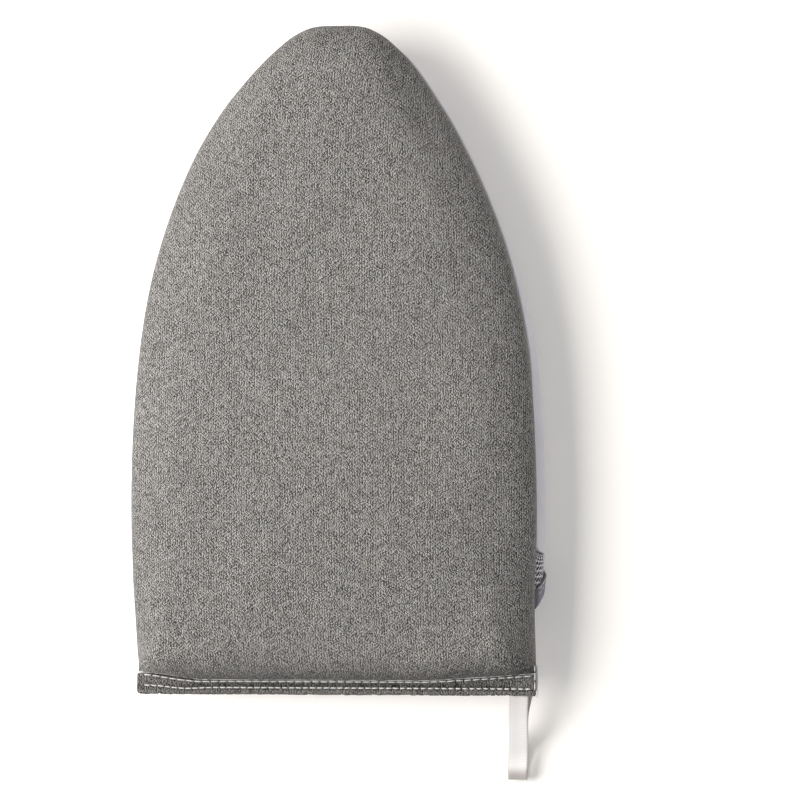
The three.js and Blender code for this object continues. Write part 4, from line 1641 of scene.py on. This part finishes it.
@dataclass(frozen=True)
class PocketShape:
    """The hand pocket's surface, from its mouth to the finger end and round from seam to seam."""

    frame: Frame
    mouth_rise: float = 32 * MM  # rise of the mouth at the side seams
    end_rise: float = 243.5 * MM  # rise at which the finger end is sewn on
    flat_rise: float = 150 * MM  # where the pocket starts to close towards the finger end
    end_depth: float = 1.3 * MM  # depth of the pocket at the finger end
    end_bow: float = 4 * MM  # how far the finger end bows out towards the tip
    mouth_lift: float = 4 * MM  # how much shallower the pocket is at the mouth
    mouth_lift_reach: float = 22 * MM  # how far from the mouth that ends
    mouth_bow: float = 20 * MM  # how far the mouth is cut back in the middle
    mouth_bow_fade: float = 90 * MM  # how far from the mouth that ends
    handle: float = 9 * MM  # how far the walls bulge out, as a handle of their curve
    end_handle: float = 1.7 * MM  # the same near the finger end
    tuck: float = 0.9 * MM  # how far the seam is drawn in under the sides
    corner_round: float = 0.35  # how much of the half width the rounded corner takes
    floor_share: float = 0.5  # how much of the way across the flat floor takes
    vent_top_rise: float = 56 * MM  # up to where the mesh vents reach
    vent_flare: float = 13 * MM  # over which length they widen
    vent_share: float = 0.17  # how much of the way across a vent takes
    gather_depth: float = 0.5 * MM
    gather_reach: float = 11 * MM  # how far from the mouth they reach
    fold_depth: float = 0.28 * MM

    def closing(self, rise: Array) -> Array:
        """How far the pocket has closed at a rise: 0 where it is full and 1 at the finger end."""
        return np.clip((rise - self.flat_rise) / (self.end_rise - self.flat_rise), 0, 1)

    def depth(self, rise: Array) -> Array:
        """Depth of the pocket under the rim.

        Args:
            rise: a rise, or several.

        Returns:
            The depth there.
        """
        from_mouth = np.clip((rise - self.mouth_rise) / self.mouth_lift_reach, 0, 1)
        full = mix(self.frame.rim, self.end_depth, self.closing(rise) ** 2)
        return full - self.mouth_lift * (1 - from_mouth) ** 2

    def point(self, rise: Array, across: Array) -> Array:
        """Points of the pocket's outside.

        Args:
            rise: where a row meets the side seams.
            across: from -1 at the left seam to 1 at the right one.

        Returns:
            The points.
        """
        rise, across = np.broadcast_arrays(np.asarray(rise, float), np.asarray(across, float))
        half = self.frame.outline.half_width_at(rise) - self.tuck
        depth = self.depth(rise)
        full = 1 - smooth(rise, 90 * MM, 205 * MM)
        handle = mix(self.end_handle, self.handle, full) * depth / self.frame.rim
        floor_half = half * (1 - self.corner_round)
        away = np.abs(across)
        t = 1 - np.clip((away - self.floor_share) / (1 - self.floor_share), 0, 1)
        a, b, c, d = bezier_weights(t)
        wall_x = a * half + b * (half + handle) + c * half * (1 - 0.03) + d * floor_half
        wall_z = -depth * (b * 0.5 + c + d)
        on_floor = away <= self.floor_share
        x = np.where(on_floor, floor_half * away / self.floor_share, wall_x)
        z = np.where(on_floor, -depth, wall_z)
        open_share = 1 - smooth(rise, self.mouth_rise, self.mouth_rise + self.mouth_bow_fade)
        bow = self.mouth_bow * open_share * (1 - away**2.5)
        bow = bow + self.end_bow * self.closing(rise) ** 2 * (1 - (x / half) ** 2)
        return join(np.sign(across) * x, self.frame.bottom + rise + bow, self.frame.rim + z)

    def relief(self, rise: Array, across: Array) -> Array:
        """How far the cloth lies inside its plain shape: gathers at the mouth, soft folds beyond.

        Args:
            rise: where a row meets the side seams.
            across: from -1 at the left seam to 1 at the right one.

        Returns:
            One depth a point.
        """
        gather = np.sin(across * 62 + Waves(21, 0.5).at(across, rise * 8) * 0.8) * 0.5 + 0.5
        at_mouth = np.exp(-np.maximum(rise - self.mouth_rise, 0) / self.gather_reach)
        fold = np.abs(Waves(22, 30 * MM, stretch=2.4).at(across * 60 * MM, rise))
        on_seam = smooth(1 - np.abs(across), 0, 0.12)
        return (gather * at_mouth * self.gather_depth + fold * self.fold_depth) * on_seam

    def layer(self, rise: Array, across: Array, sink: float | Array) -> Array:
        """Points that lie a given way inside the pocket's outside.

        Args:
            rise: where a row meets the side seams.
            across: from -1 at the left seam to 1 at the right one.
            sink: how far inside the outside the points lie.

        Returns:
            The points.
        """
        rise, across = np.broadcast_arrays(np.asarray(rise, float), np.asarray(across, float))
        step, turn = 0.3 * MM, 0.002
        along = self.point(rise + step, across) - self.point(rise - step, across)
        high, low = np.minimum(across + turn, 1), np.maximum(across - turn, -1)
        inward = np.cross(self.point(rise, high) - self.point(rise, low), along)
        inward /= np.linalg.norm(inward, axis=-1, keepdims=True)
        way = np.asarray(sink) + self.relief(rise, across)
        found = self.point(rise, across) + inward * way[..., None]
        found[..., 2] = np.minimum(found[..., 2], self.frame.rim)
        return found

    def wall_end(self, rise: Array) -> Array:
        """How far across the walls reach, which is less beside the mesh vents."""
        return 1 - self.vent_share * smooth(self.vent_top_rise - rise, 0, self.vent_flare)

    def places(self, points: Array) -> Array:
        """Where a grid of points lies on the flat cloth: even steps from its middle column.

        Args:
            points: rows of points.

        Returns:
            Places across and along the cloth.
        """
        steps = np.linalg.norm(np.diff(points, axis=1), axis=-1)
        walked = np.concatenate([np.zeros((len(points), 1)), np.cumsum(steps, axis=1)], axis=1)
        middle = points.shape[1] // 2
        return np.stack([walked - walked[:, middle:middle + 1], points[..., 1]], axis=-1)


@dataclass
class Vent:
    """A mesh vent: a grid of holes between the side seam and the pocket's wall."""

    shape: PocketShape
    side: int  # -1 for the left vent and 1 for the right one
    start: float  # rise of its lower edge at the side seam
    length: float  # from there to its upper edge
    hole_pitch: float = 1.28 * MM  # from one hole to the next
    row_share: float = 0.87  # distance between two rows of holes, as a share of the pitch
    hole_stretch: float = 2.0  # width of a hole's cell, as a share of the pitch
    hole_shares: Pair = (0.36, 0.52)  # half width and half height of a hole, as shares of its cell
    thickness: float = 0.12 * MM
    wall_gap: float = 0.016  # from the pocket's wall to the vent, as a share of the way across
    columns: int = field(init=False)  # how many columns of holes it has
    rows: int = field(init=False)  # how many rows

    def __post_init__(self) -> None:
        """Works out how many holes there is room for."""
        middle = self.start + self.length / 2
        inner = float(self.shape.wall_end(middle)) + self.wall_gap
        wall = self.shape.layer(np.full(60, middle), self.side * np.linspace(inner, 1, 60), 0)
        self.columns = max(int(arc(wall)[-1] / (self.hole_pitch * self.hole_stretch)), 3)
        self.rows = max(int(self.length / (self.hole_pitch * self.row_share)), 4)

    def at(self, cells: Array, sink: float) -> Array:
        """Points of the vent.

        Args:
            cells: places in the grid of holes, as columns and rows.
            sink: how far inside the pocket's outside the points lie.

        Returns:
            The points.
        """
        rise = self.start + np.clip(cells[..., 1] / self.rows, 0, 1) * self.length
        inner = self.shape.wall_end(rise) + self.wall_gap
        across = mix(inner, 1, np.clip(cells[..., 0] / self.columns, 0, 1))
        return self.shape.layer(rise, self.side * across, sink)

    def mesh(self) -> Skin:
        """The mesh, with a real hole in each six-sided cell.

        Returns:
            Its points and faces.
        """
        half, third = 1 / 2, 1 / 3
        corner = np.array([
            (half, third), (0, 2 * third), (-half, third), (-half, -third), (0, -2 * third), (half, -third)
        ])
        rim = np.empty((12, 2))
        rim[0::2] = corner
        rim[1::2] = (corner + np.roll(corner, -1, axis=0)) / 2
        angle = np.arctan2(rim[:, 1], rim[:, 0])
        hole = np.stack([np.cos(angle), np.sin(angle)], axis=-1) * self.hole_shares
        skin = Skin()
        for j in range(self.rows):
            for i in range(self.columns + j % 2):
                middle = np.array([i + half - half * (j % 2), j + half])
                cells = np.stack([middle + rim, middle + hole])
                front = skin.add(self.at(cells, 0), cells * MM)
                back = skin.add(self.at(cells, self.thickness), cells * MM)
                skin.quads(front, closed=True)
                skin.quads(back, closed=True, turned=True)
                skin.quads(np.stack([front[1], back[1]]), closed=True)
        return skin

    def net(self, sink: float, thickness: float) -> Skin:
        """A black net close behind the vent's holes, which paints the shade of the pocket's inside.

        Args:
            sink: how far inside the pocket's outside it lies.
            thickness: its thickness.

        Returns:
            Its mesh.
        """
        across, along = np.linspace(0.05, self.columns - 0.05, 14), np.linspace(0.1, self.rows - 0.1, 40)
        cells = np.stack(np.meshgrid(across, along), axis=-1)
        skin = Skin()
        shell(skin, self.at(cells, sink), self.at(cells, sink + thickness), cells * MM)
        return skin


@dataclass
class Pocket(SubAssembly):
    """The hand pocket on the back: outer cloth, lining, mesh vents, bound mouth with elastic."""

    cloth_thickness: float = 1 * MM
    lining_sink: float = 1.5 * MM  # how far inside the outer cloth's outside the lining lies
    lining_thickness: float = 0.8 * MM
    binding_width: float = 7.5 * MM  # width of the binding on each side of the mouth
    channel: float = 4.6 * MM  # width of the part of it that holds the elastic
    binding_thickness: float = 0.6 * MM  # thickness of its cloth
    binding_out: float = -1.1 * MM  # depth of its outer face inside the pocket, which is less than 0
    binding_in: float = 2.8 * MM  # depth of its inner face
    gap: float = 0.3 * MM  # the space between binding and cloth
    # The space round the elastic in the fold, along the mouth and over its outer face
    elastic_gap: Pair = (1.4 * MM, 1.1 * MM)
    shape: PocketShape = field(init=False)

    def __post_init__(self) -> None:
        """Makes the pocket's surface from the frame."""
        self.shape = PocketShape(self.frame)

    def build(self) -> None:
        """Makes every piece of the pocket."""
        lining_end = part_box("pocket_lining")[1].y - self.frame.bottom - 3.2 * MM
        self.cloth("hand_pocket", self.shape.end_rise, 0, self.cloth_thickness, Slot.KNIT, 90)
        self.cloth("pocket_lining", lining_end, self.lining_sink, self.lining_thickness, Slot.LINING, 50)
        self.vent("mesh_vent_left", -1)
        self.vent("mesh_vent_right", 1)
        self.binding()
        self.seams()
        self.elastic()

    def start(self) -> float:
        """Rise of the lower edge of cloths and vents at the side seams, over the binding."""
        return self.shape.mouth_rise + self.channel + self.gap

    def cloth(
        self, node: str, end: float, sink: float, thickness: float, slot: Slot, rows: int
    ) -> None:
        """Makes one layer of the pocket.

        Args:
            node: the CAD node that it replaces.
            end: rise of its last row.
            sink: how far inside the pocket's outside it lies.
            thickness: its thickness.
            slot: its material slot.
            rows: how many rows of points it has.
        """
        rise = np.linspace(self.start(), end, rows)[:, None]
        place = np.linspace(-1, 1, 181)[None, :]
        wall = np.clip((np.abs(place) - 0.5) / 0.5, 0, 1)
        across = place - np.sign(place) * (1 - self.shape.wall_end(rise)) * wall
        outer = self.shape.layer(rise, across, sink)
        inner = self.shape.layer(rise, across, sink + thickness)
        skin = Skin()
        shell(skin, outer, inner, self.shape.places(outer))
        self.dress(skin, node, slot)

    def vent(self, node: str, side: int) -> None:
        """Makes a mesh vent and the black net of painted shade behind it.

        Args:
            node: the CAD node that it replaces.
            side: -1 for the left vent and 1 for the right one.
        """
        length = self.shape.vent_top_rise - self.start() - 1 * MM
        vent = Vent(self.shape, side, self.start(), length)
        net = tidy(vent.net(0.4 * MM, 0.15 * MM).piece(f"{node}_backing", self.finishes.net))
        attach(net, GLOVE_BODY)
        self.dress(vent.mesh(), node, Slot.MESH)

    def profile(self) -> list[Pair]:
        """The binding's cross-section.

        Returns:
            Pairs of a rise from the mouth's edge and a depth inside the pocket.
        """
        upper, channel, fold = self.binding_width, self.channel, self.binding_thickness
        out, into = self.binding_out, self.binding_in
        return [
            (upper, out), (upper * 0.75, out - 0.05 * MM), (channel, out), (upper * 0.3, out - 0.1 * MM),
            (fold, out), (fold * 0.3, out * 0.6), (0, 0), (0, into * 0.5), (0, into),
            (fold * 0.3, into + fold * 0.7), (fold, into + fold), (upper * 0.3, into + fold),
            (channel, into + fold), (upper, into + fold), (upper, into), (channel, into), (fold, into),
            (fold, out + fold), (channel, out + fold), (upper, out + fold),
        ]

    def swept(self, profile: Iterable[Pair], across: Array) -> Skin:
        """A strip with a given cross-section along the mouth.

        Args:
            profile: pairs of a rise from the mouth's edge and a depth inside the pocket.
            across: places along the mouth, from -1 at the left seam to 1 at the right one.

        Returns:
            The strip's mesh.
        """
        pairs = np.array(list(profile))
        depth = np.broadcast_to(pairs[None, :, 1], (len(across), len(pairs)))
        section = self.shape.layer(self.shape.mouth_rise + pairs[None, :, 0], across[:, None], depth)
        along = arc(section.mean(1))
        skin = Skin()
        skin.tube(section, np.stack(np.broadcast_arrays(arc(pairs)[None, :], along[:, None]), axis=-1))
        return skin

    def binding(self) -> None:
        """Makes the tape folded over the mouth's edge."""
        skin = self.swept(self.profile(), np.linspace(-1, 1, 301))
        self.dress(skin, "mouth_binding", Slot.BINDING)

    def seams(self) -> None:
        """Makes the rows of stitches that hold the binding, on the outside of the pocket."""
        across = np.linspace(-0.985, 0.985, 900)
        for name, rise, stitch in (
            ("binding_stitches", 7.1 * MM, Stitch(2.6 * MM, 0.99, 0.26 * MM)),
            ("channel_stitches", 4.9 * MM, Stitch(2.6 * MM, 0.8, 0.13 * MM)),
        ):
            rises = np.full_like(across, self.shape.mouth_rise + rise)
            line = self.shape.layer(rises, across, self.binding_out - 0.08 * MM)
            up = line - self.shape.layer(rises, across, self.binding_out)
            stitch.row(name, line, up / np.linalg.norm(up, axis=-1, keepdims=True), self.finishes)

    def elastic(self) -> None:
        """Makes the elastic in the fold of the binding."""
        wide, thick = 2 * MM, 0.8 * MM
        low = self.binding_thickness + self.elastic_gap[0]
        out = self.binding_out + self.binding_thickness + self.elastic_gap[1]
        corners = ((low, out), (low + wide, out), (low + wide, out + thick), (low, out + thick))
        skin = self.swept(corners, np.linspace(-0.93, 0.93, 241))
        self.dress(skin, "mouth_elastic", Slot.ELASTIC)


@dataclass
class HangingLoop(SubAssembly):
    """The satin ribbon folded into a loop at the right end of the hem."""

    width: float = 7.5 * MM
    thickness: float = 0.5 * MM
    reach: float = 32.3 * MM  # how far the loop stands out from the hem
    lean: float = 2.2 * MM  # how far the loop's end lies to the left of its root
    from_side: float = 5.9 * MM  # from the side seam to the middle of the root
    end_height: float = 6 * MM  # how high the fold at its end is
    aside: float = 1.5 * MM  # how far the lower leg is set off to the right at the hem
    root_handle: float = 11 * MM  # how far the ribbon runs straight out of the hem
    end_handle: float = 15 * MM  # how far it runs straight into the fold
    root_half: float = 0.48 * MM  # half the distance between the legs at the root
    skew: float = 0.15  # how far the lower leg lies to the left, as a share of the gap between the legs
    picot_pitch: float = 0.8 * MM  # from one loop of the ribbon's edge to the next
    picot: float = 0.1 * MM  # how far those loops stand out
    leg_steps: int = 90  # how many points a leg has
    side_steps: int = 17  # how many points each face has across the ribbon
    centre: float = field(init=False)  # x of the root's middle

    def __post_init__(self) -> None:
        """Takes the place of the root from the frame."""
        self.centre = float(self.frame.outline.half_width_at(0)) - self.from_side

    def path(self) -> tuple[Array, Array, Array]:
        """The ribbon's middle line.

        Returns:
            Its points as rise and level, the way out of the loop at each, and how far it is aside.
        """
        radius = (self.end_height - self.thickness) / 2
        fold = np.array([-self.reach + self.end_height / 2, 0.4 * MM + self.end_height / 2])
        root = np.array([0.08 * MM, self.frame.panel_top + 0.15 * MM])
        knots = [root, root - (self.root_handle, 0), fold + (self.end_handle, 0), fold]
        t = np.linspace(0, 1, self.leg_steps)[:, None]
        middle = sum(weight * knot for weight, knot in zip(bezier_weights(t), knots))
        way = np.gradient(middle, axis=0)
        way /= np.linalg.norm(way, axis=-1, keepdims=True)
        side = np.stack([way[:, 1], -way[:, 0]], axis=-1)
        half = mix(self.root_half, radius, smooth(t, 0, 0.78))
        angle = math.pi / 2 + np.linspace(0, math.pi, 17)[1:-1]
        out = np.stack([np.cos(angle), np.sin(angle)], axis=-1)
        place = np.concatenate([middle + side * half, fold + out * radius, (middle - side * half)[::-1]])
        outward = np.concatenate([side, out, -side[::-1]])
        gap = 2 * (side * half)[:, 1]
        shift = self.aside * np.maximum(1 - t[:, 0] / 0.5, 0) ** 2 - self.skew * gap
        lean = -self.lean * t[:, 0]
        below = radius * (1 - np.sin(angle))
        aside = np.concatenate([lean, -self.lean - self.skew * below, (lean + shift)[::-1]])
        return place, outward, aside

    def build(self) -> None:
        """Makes the ribbon, from its root at the hem to the fold at its end."""
        place, outward, aside = self.path()
        walked = arc(place)[:, None]
        once = np.linspace(-1, 1, self.side_steps)
        across = np.concatenate([once, once[::-1]])[None, :]
        face = np.repeat((1.0, -1.0), self.side_steps)[None, :]
        edge = 1 - np.abs(across) ** 8 * 0.55
        picot = np.sin(walked / self.picot_pitch * TURN) * self.picot * np.sign(across) * np.abs(across) ** 9
        bend = Waves(31, 9 * MM).at(walked, walked * 0) * 0.06 * MM * across
        depth = face * edge * self.thickness / 2 + (across**2 - 0.4) * (0.12 * MM) + bend
        points = join(
            self.centre + aside[:, None] + across * (self.width / 2 - self.picot) + picot,
            self.frame.bottom + place[:, None, 0] + outward[:, None, 0] * depth,
            place[:, None, 1] + outward[:, None, 1] * depth,
        )
        past_fold = walked - walked[self.leg_steps]
        skin = Skin()
        grid = skin.add(points, np.stack(np.broadcast_arrays(across * self.width / 2, past_fold), axis=-1))
        skin.quads(grid, closed=True)
        skin.faces.extend(tuple(grid[k].tolist()) for k in (0, -1))
        made = tidy(skin.piece("hanging_loop_ribbon", self.finishes.by_slot[Slot.SATIN]), weld=0.002 * MM)
        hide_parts("hanging_loop")
        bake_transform(made)


@dataclass(frozen=True)
class Cut:
    """How one sheet of cloth is cut before it is sewn in."""

    piece: str  # the sheet's piece
    flat: Pair  # width and length of the cut
    area: float  # its area, as it isn't a rectangle
    rests_on: tuple[str, ...]  # what it lies on
    sewn: tuple[str, ...] = ()  # the pieces that are sewn to it

    def declare(self) -> None:
        """Does nothing; the sheet is not told to the frame."""


CUTS = (
    Cut("front_cover_cloth", (0.186, 0.281), 0.0391, ("heat_barrier_cloth",),
        ("bottom_hem_cloth", "hem_stitches_upper", "hem_stitches_lower", "hem_end_stitches",
         "hem_end_roll")),
    Cut("heat_barrier_cloth", (0.178, 0.272), 0.0372, ("felt_layer_cloth",)),
    Cut("felt_layer_cloth", (0.172, 0.266), 0.0356, ("foam_pad_cloth",)),
    Cut("back_panel_cloth", (0.1515, 0.2445), 0.0313, ("foam_pad_cloth",), ("back_hem_cloth",)),
    Cut("hand_pocket_cloth", (0.186, 0.213), 0.0282, ("back_panel_cloth",),
        ("mesh_vent_left_cloth", "mesh_vent_right_cloth", "mesh_vent_left_backing",
         "mesh_vent_right_backing", "mouth_binding_cloth", "mouth_elastic_cloth",
         "binding_stitches", "channel_stitches")),
    Cut("pocket_lining_cloth", (0.18, 0.2), 0.0262, ("hand_pocket_cloth",)),
)


def declare_cloth() -> None:
    """Goes through every sheet, whose declare does nothing, and logs how many there are."""
    for cut in CUTS:
        cut.declare()
    LOG.info("%d sheets and the padding declared", len(CUTS))


@dataclass(frozen=True)
class Studio:
    """Floor, lights and camera."""

    target: tuple[float, float, float] = (25.12 * MM, 1.38 * MM, 25 * MM)  # what the camera looks at
    distance: float = 3.0
    tilt: float = 8  # how far the camera leans to the right of straight down, in degrees
    lens: float = 361.25  # the camera's focal length in millimetres
    paper: Colour = (0.96, 0.93, 0.885)
    near_glow: Colour = (0.147, 0.14775, 0.15)  # the floor's glow near the glove
    lit_reach: float = 0.35  # how far from the glove the glow starts to grow
    sky: Colour = (0.97, 0.98, 1.0)
    sky_strength: float = 0.42
    lamp_size: Pair = (1.05, 0.9)  # width and length of the lamp
    lamp_power: float = 21.5  # its power in watts
    lamp_colour: Colour = (1.0, 0.985, 0.96)
    lamp_place: tuple[float, float, float] = (-0.78, 0.03, 0.94)  # where it hangs

    def build(self) -> None:
        """Makes floor, lights and camera."""
        self.floor()
        self.world()
        self.key()
        self.camera()

    def floor(self) -> None:
        """Makes a wide white floor that shows white to the camera and keeps the glove's shadow."""
        half = 3
        mesh = bpy.data.meshes.new("floor")
        mesh.from_pydata(
            [(-half, -half, 0), (half, -half, 0), (half, half, 0), (-half, half, 0)], [], [(0, 1, 2, 3)]
        )
        mesh.materials.append(self.floor_paper())
        floor = placed("floor", mesh)

    def floor_paper(self) -> Material:
        """Makes the floor's material: white paper with a glow that only the camera sees.

        Returns:
            The material.
        """
        shader = Shader("floor_paper")
        diffuse = shader.node("ShaderNodeBsdfPrincipled", None, {
            "Base Color": self.paper, "Roughness": 0.9, "Specular IOR Level": 0.1,
        })
        ray = shader.node("ShaderNodeLightPath")
        spot = shader.node("ShaderNodeTexCoord").outputs["Object"]
        away = shader.node("ShaderNodeVectorMath", {"operation": "LENGTH"}, {0: spot}).outputs["Value"]
        far = shader.clamp((Field(shader, away) - self.lit_reach) / self.lit_reach)
        glow = shader.node("ShaderNodeEmission", None, {
            "Color": shader.blend(far, self.near_glow, (1.0, 1.0, 1.0)), "Strength": 1.0,
        })
        dark = shader.node("ShaderNodeEmission", None, {"Strength": 0.0})
        seen = shader.node("ShaderNodeMixShader", None, {
            0: ray.outputs["Is Camera Ray"], 1: dark.outputs[0], 2: glow.outputs[0],
        })
        both = shader.node("ShaderNodeAddShader", None, {0: diffuse.outputs[0], 1: seen.outputs[0]})
        shader.tree.links.new(both.outputs[0], shader.output.inputs[0])
        return shader.material

    def world(self) -> None:
        """Makes even light from all round."""
        world = bpy.data.worlds.new("studio")
        bpy.context.scene.world = world
        world.use_nodes = True
        ground = world.node_tree.nodes["Background"]
        ground.inputs["Color"].default_value = (*self.sky, 1.0)
        ground.inputs["Strength"].default_value = self.sky_strength

    def key(self) -> None:
        """Makes a large soft lamp on the left."""
        lamp = bpy.data.lights.new("key", "AREA")
        lamp.shape = "RECTANGLE"
        lamp.size, lamp.size_y = self.lamp_size
        lamp.energy = self.lamp_power
        lamp.color = self.lamp_colour
        held = placed("key", lamp)
        held.location = self.lamp_place
        held.rotation_mode = "QUATERNION"
        held.rotation_quaternion = (-Vector(self.lamp_place)).to_track_quat("-Z", "Y")

    def camera(self) -> None:
        """Makes the camera above the glove, with the tip upwards in the picture."""
        data = bpy.data.cameras.new("camera")
        data.lens = self.lens
        data.sensor_width = 36
        data.clip_start, data.clip_end = 0.05, 20
        camera = placed("camera", data)
        angle = math.radians(self.tilt)
        camera.location = Vector(self.target) + Vector((math.sin(angle), 0, math.cos(angle))) * self.distance
        camera.rotation_mode = "XYZ"
        camera.rotation_euler = (0, angle, 0)
        bpy.context.scene.camera = camera


def main() -> None:
    """Builds the glove and its studio in order."""
    logging.basicConfig(level=logging.INFO, format="%(message)s")
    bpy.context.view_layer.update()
    bpy.context.scene.view_settings.view_transform = "Standard"
    Studio().build()
    sizes = Frame.read()
    finishes = Finishes()
    Pad(sizes, finishes).build()
    Hem(sizes, finishes).build()
    Pocket(sizes, finishes).build()
    HangingLoop(sizes, finishes).build()
    declare_cloth()


if __name__ == "__main__":
    main()
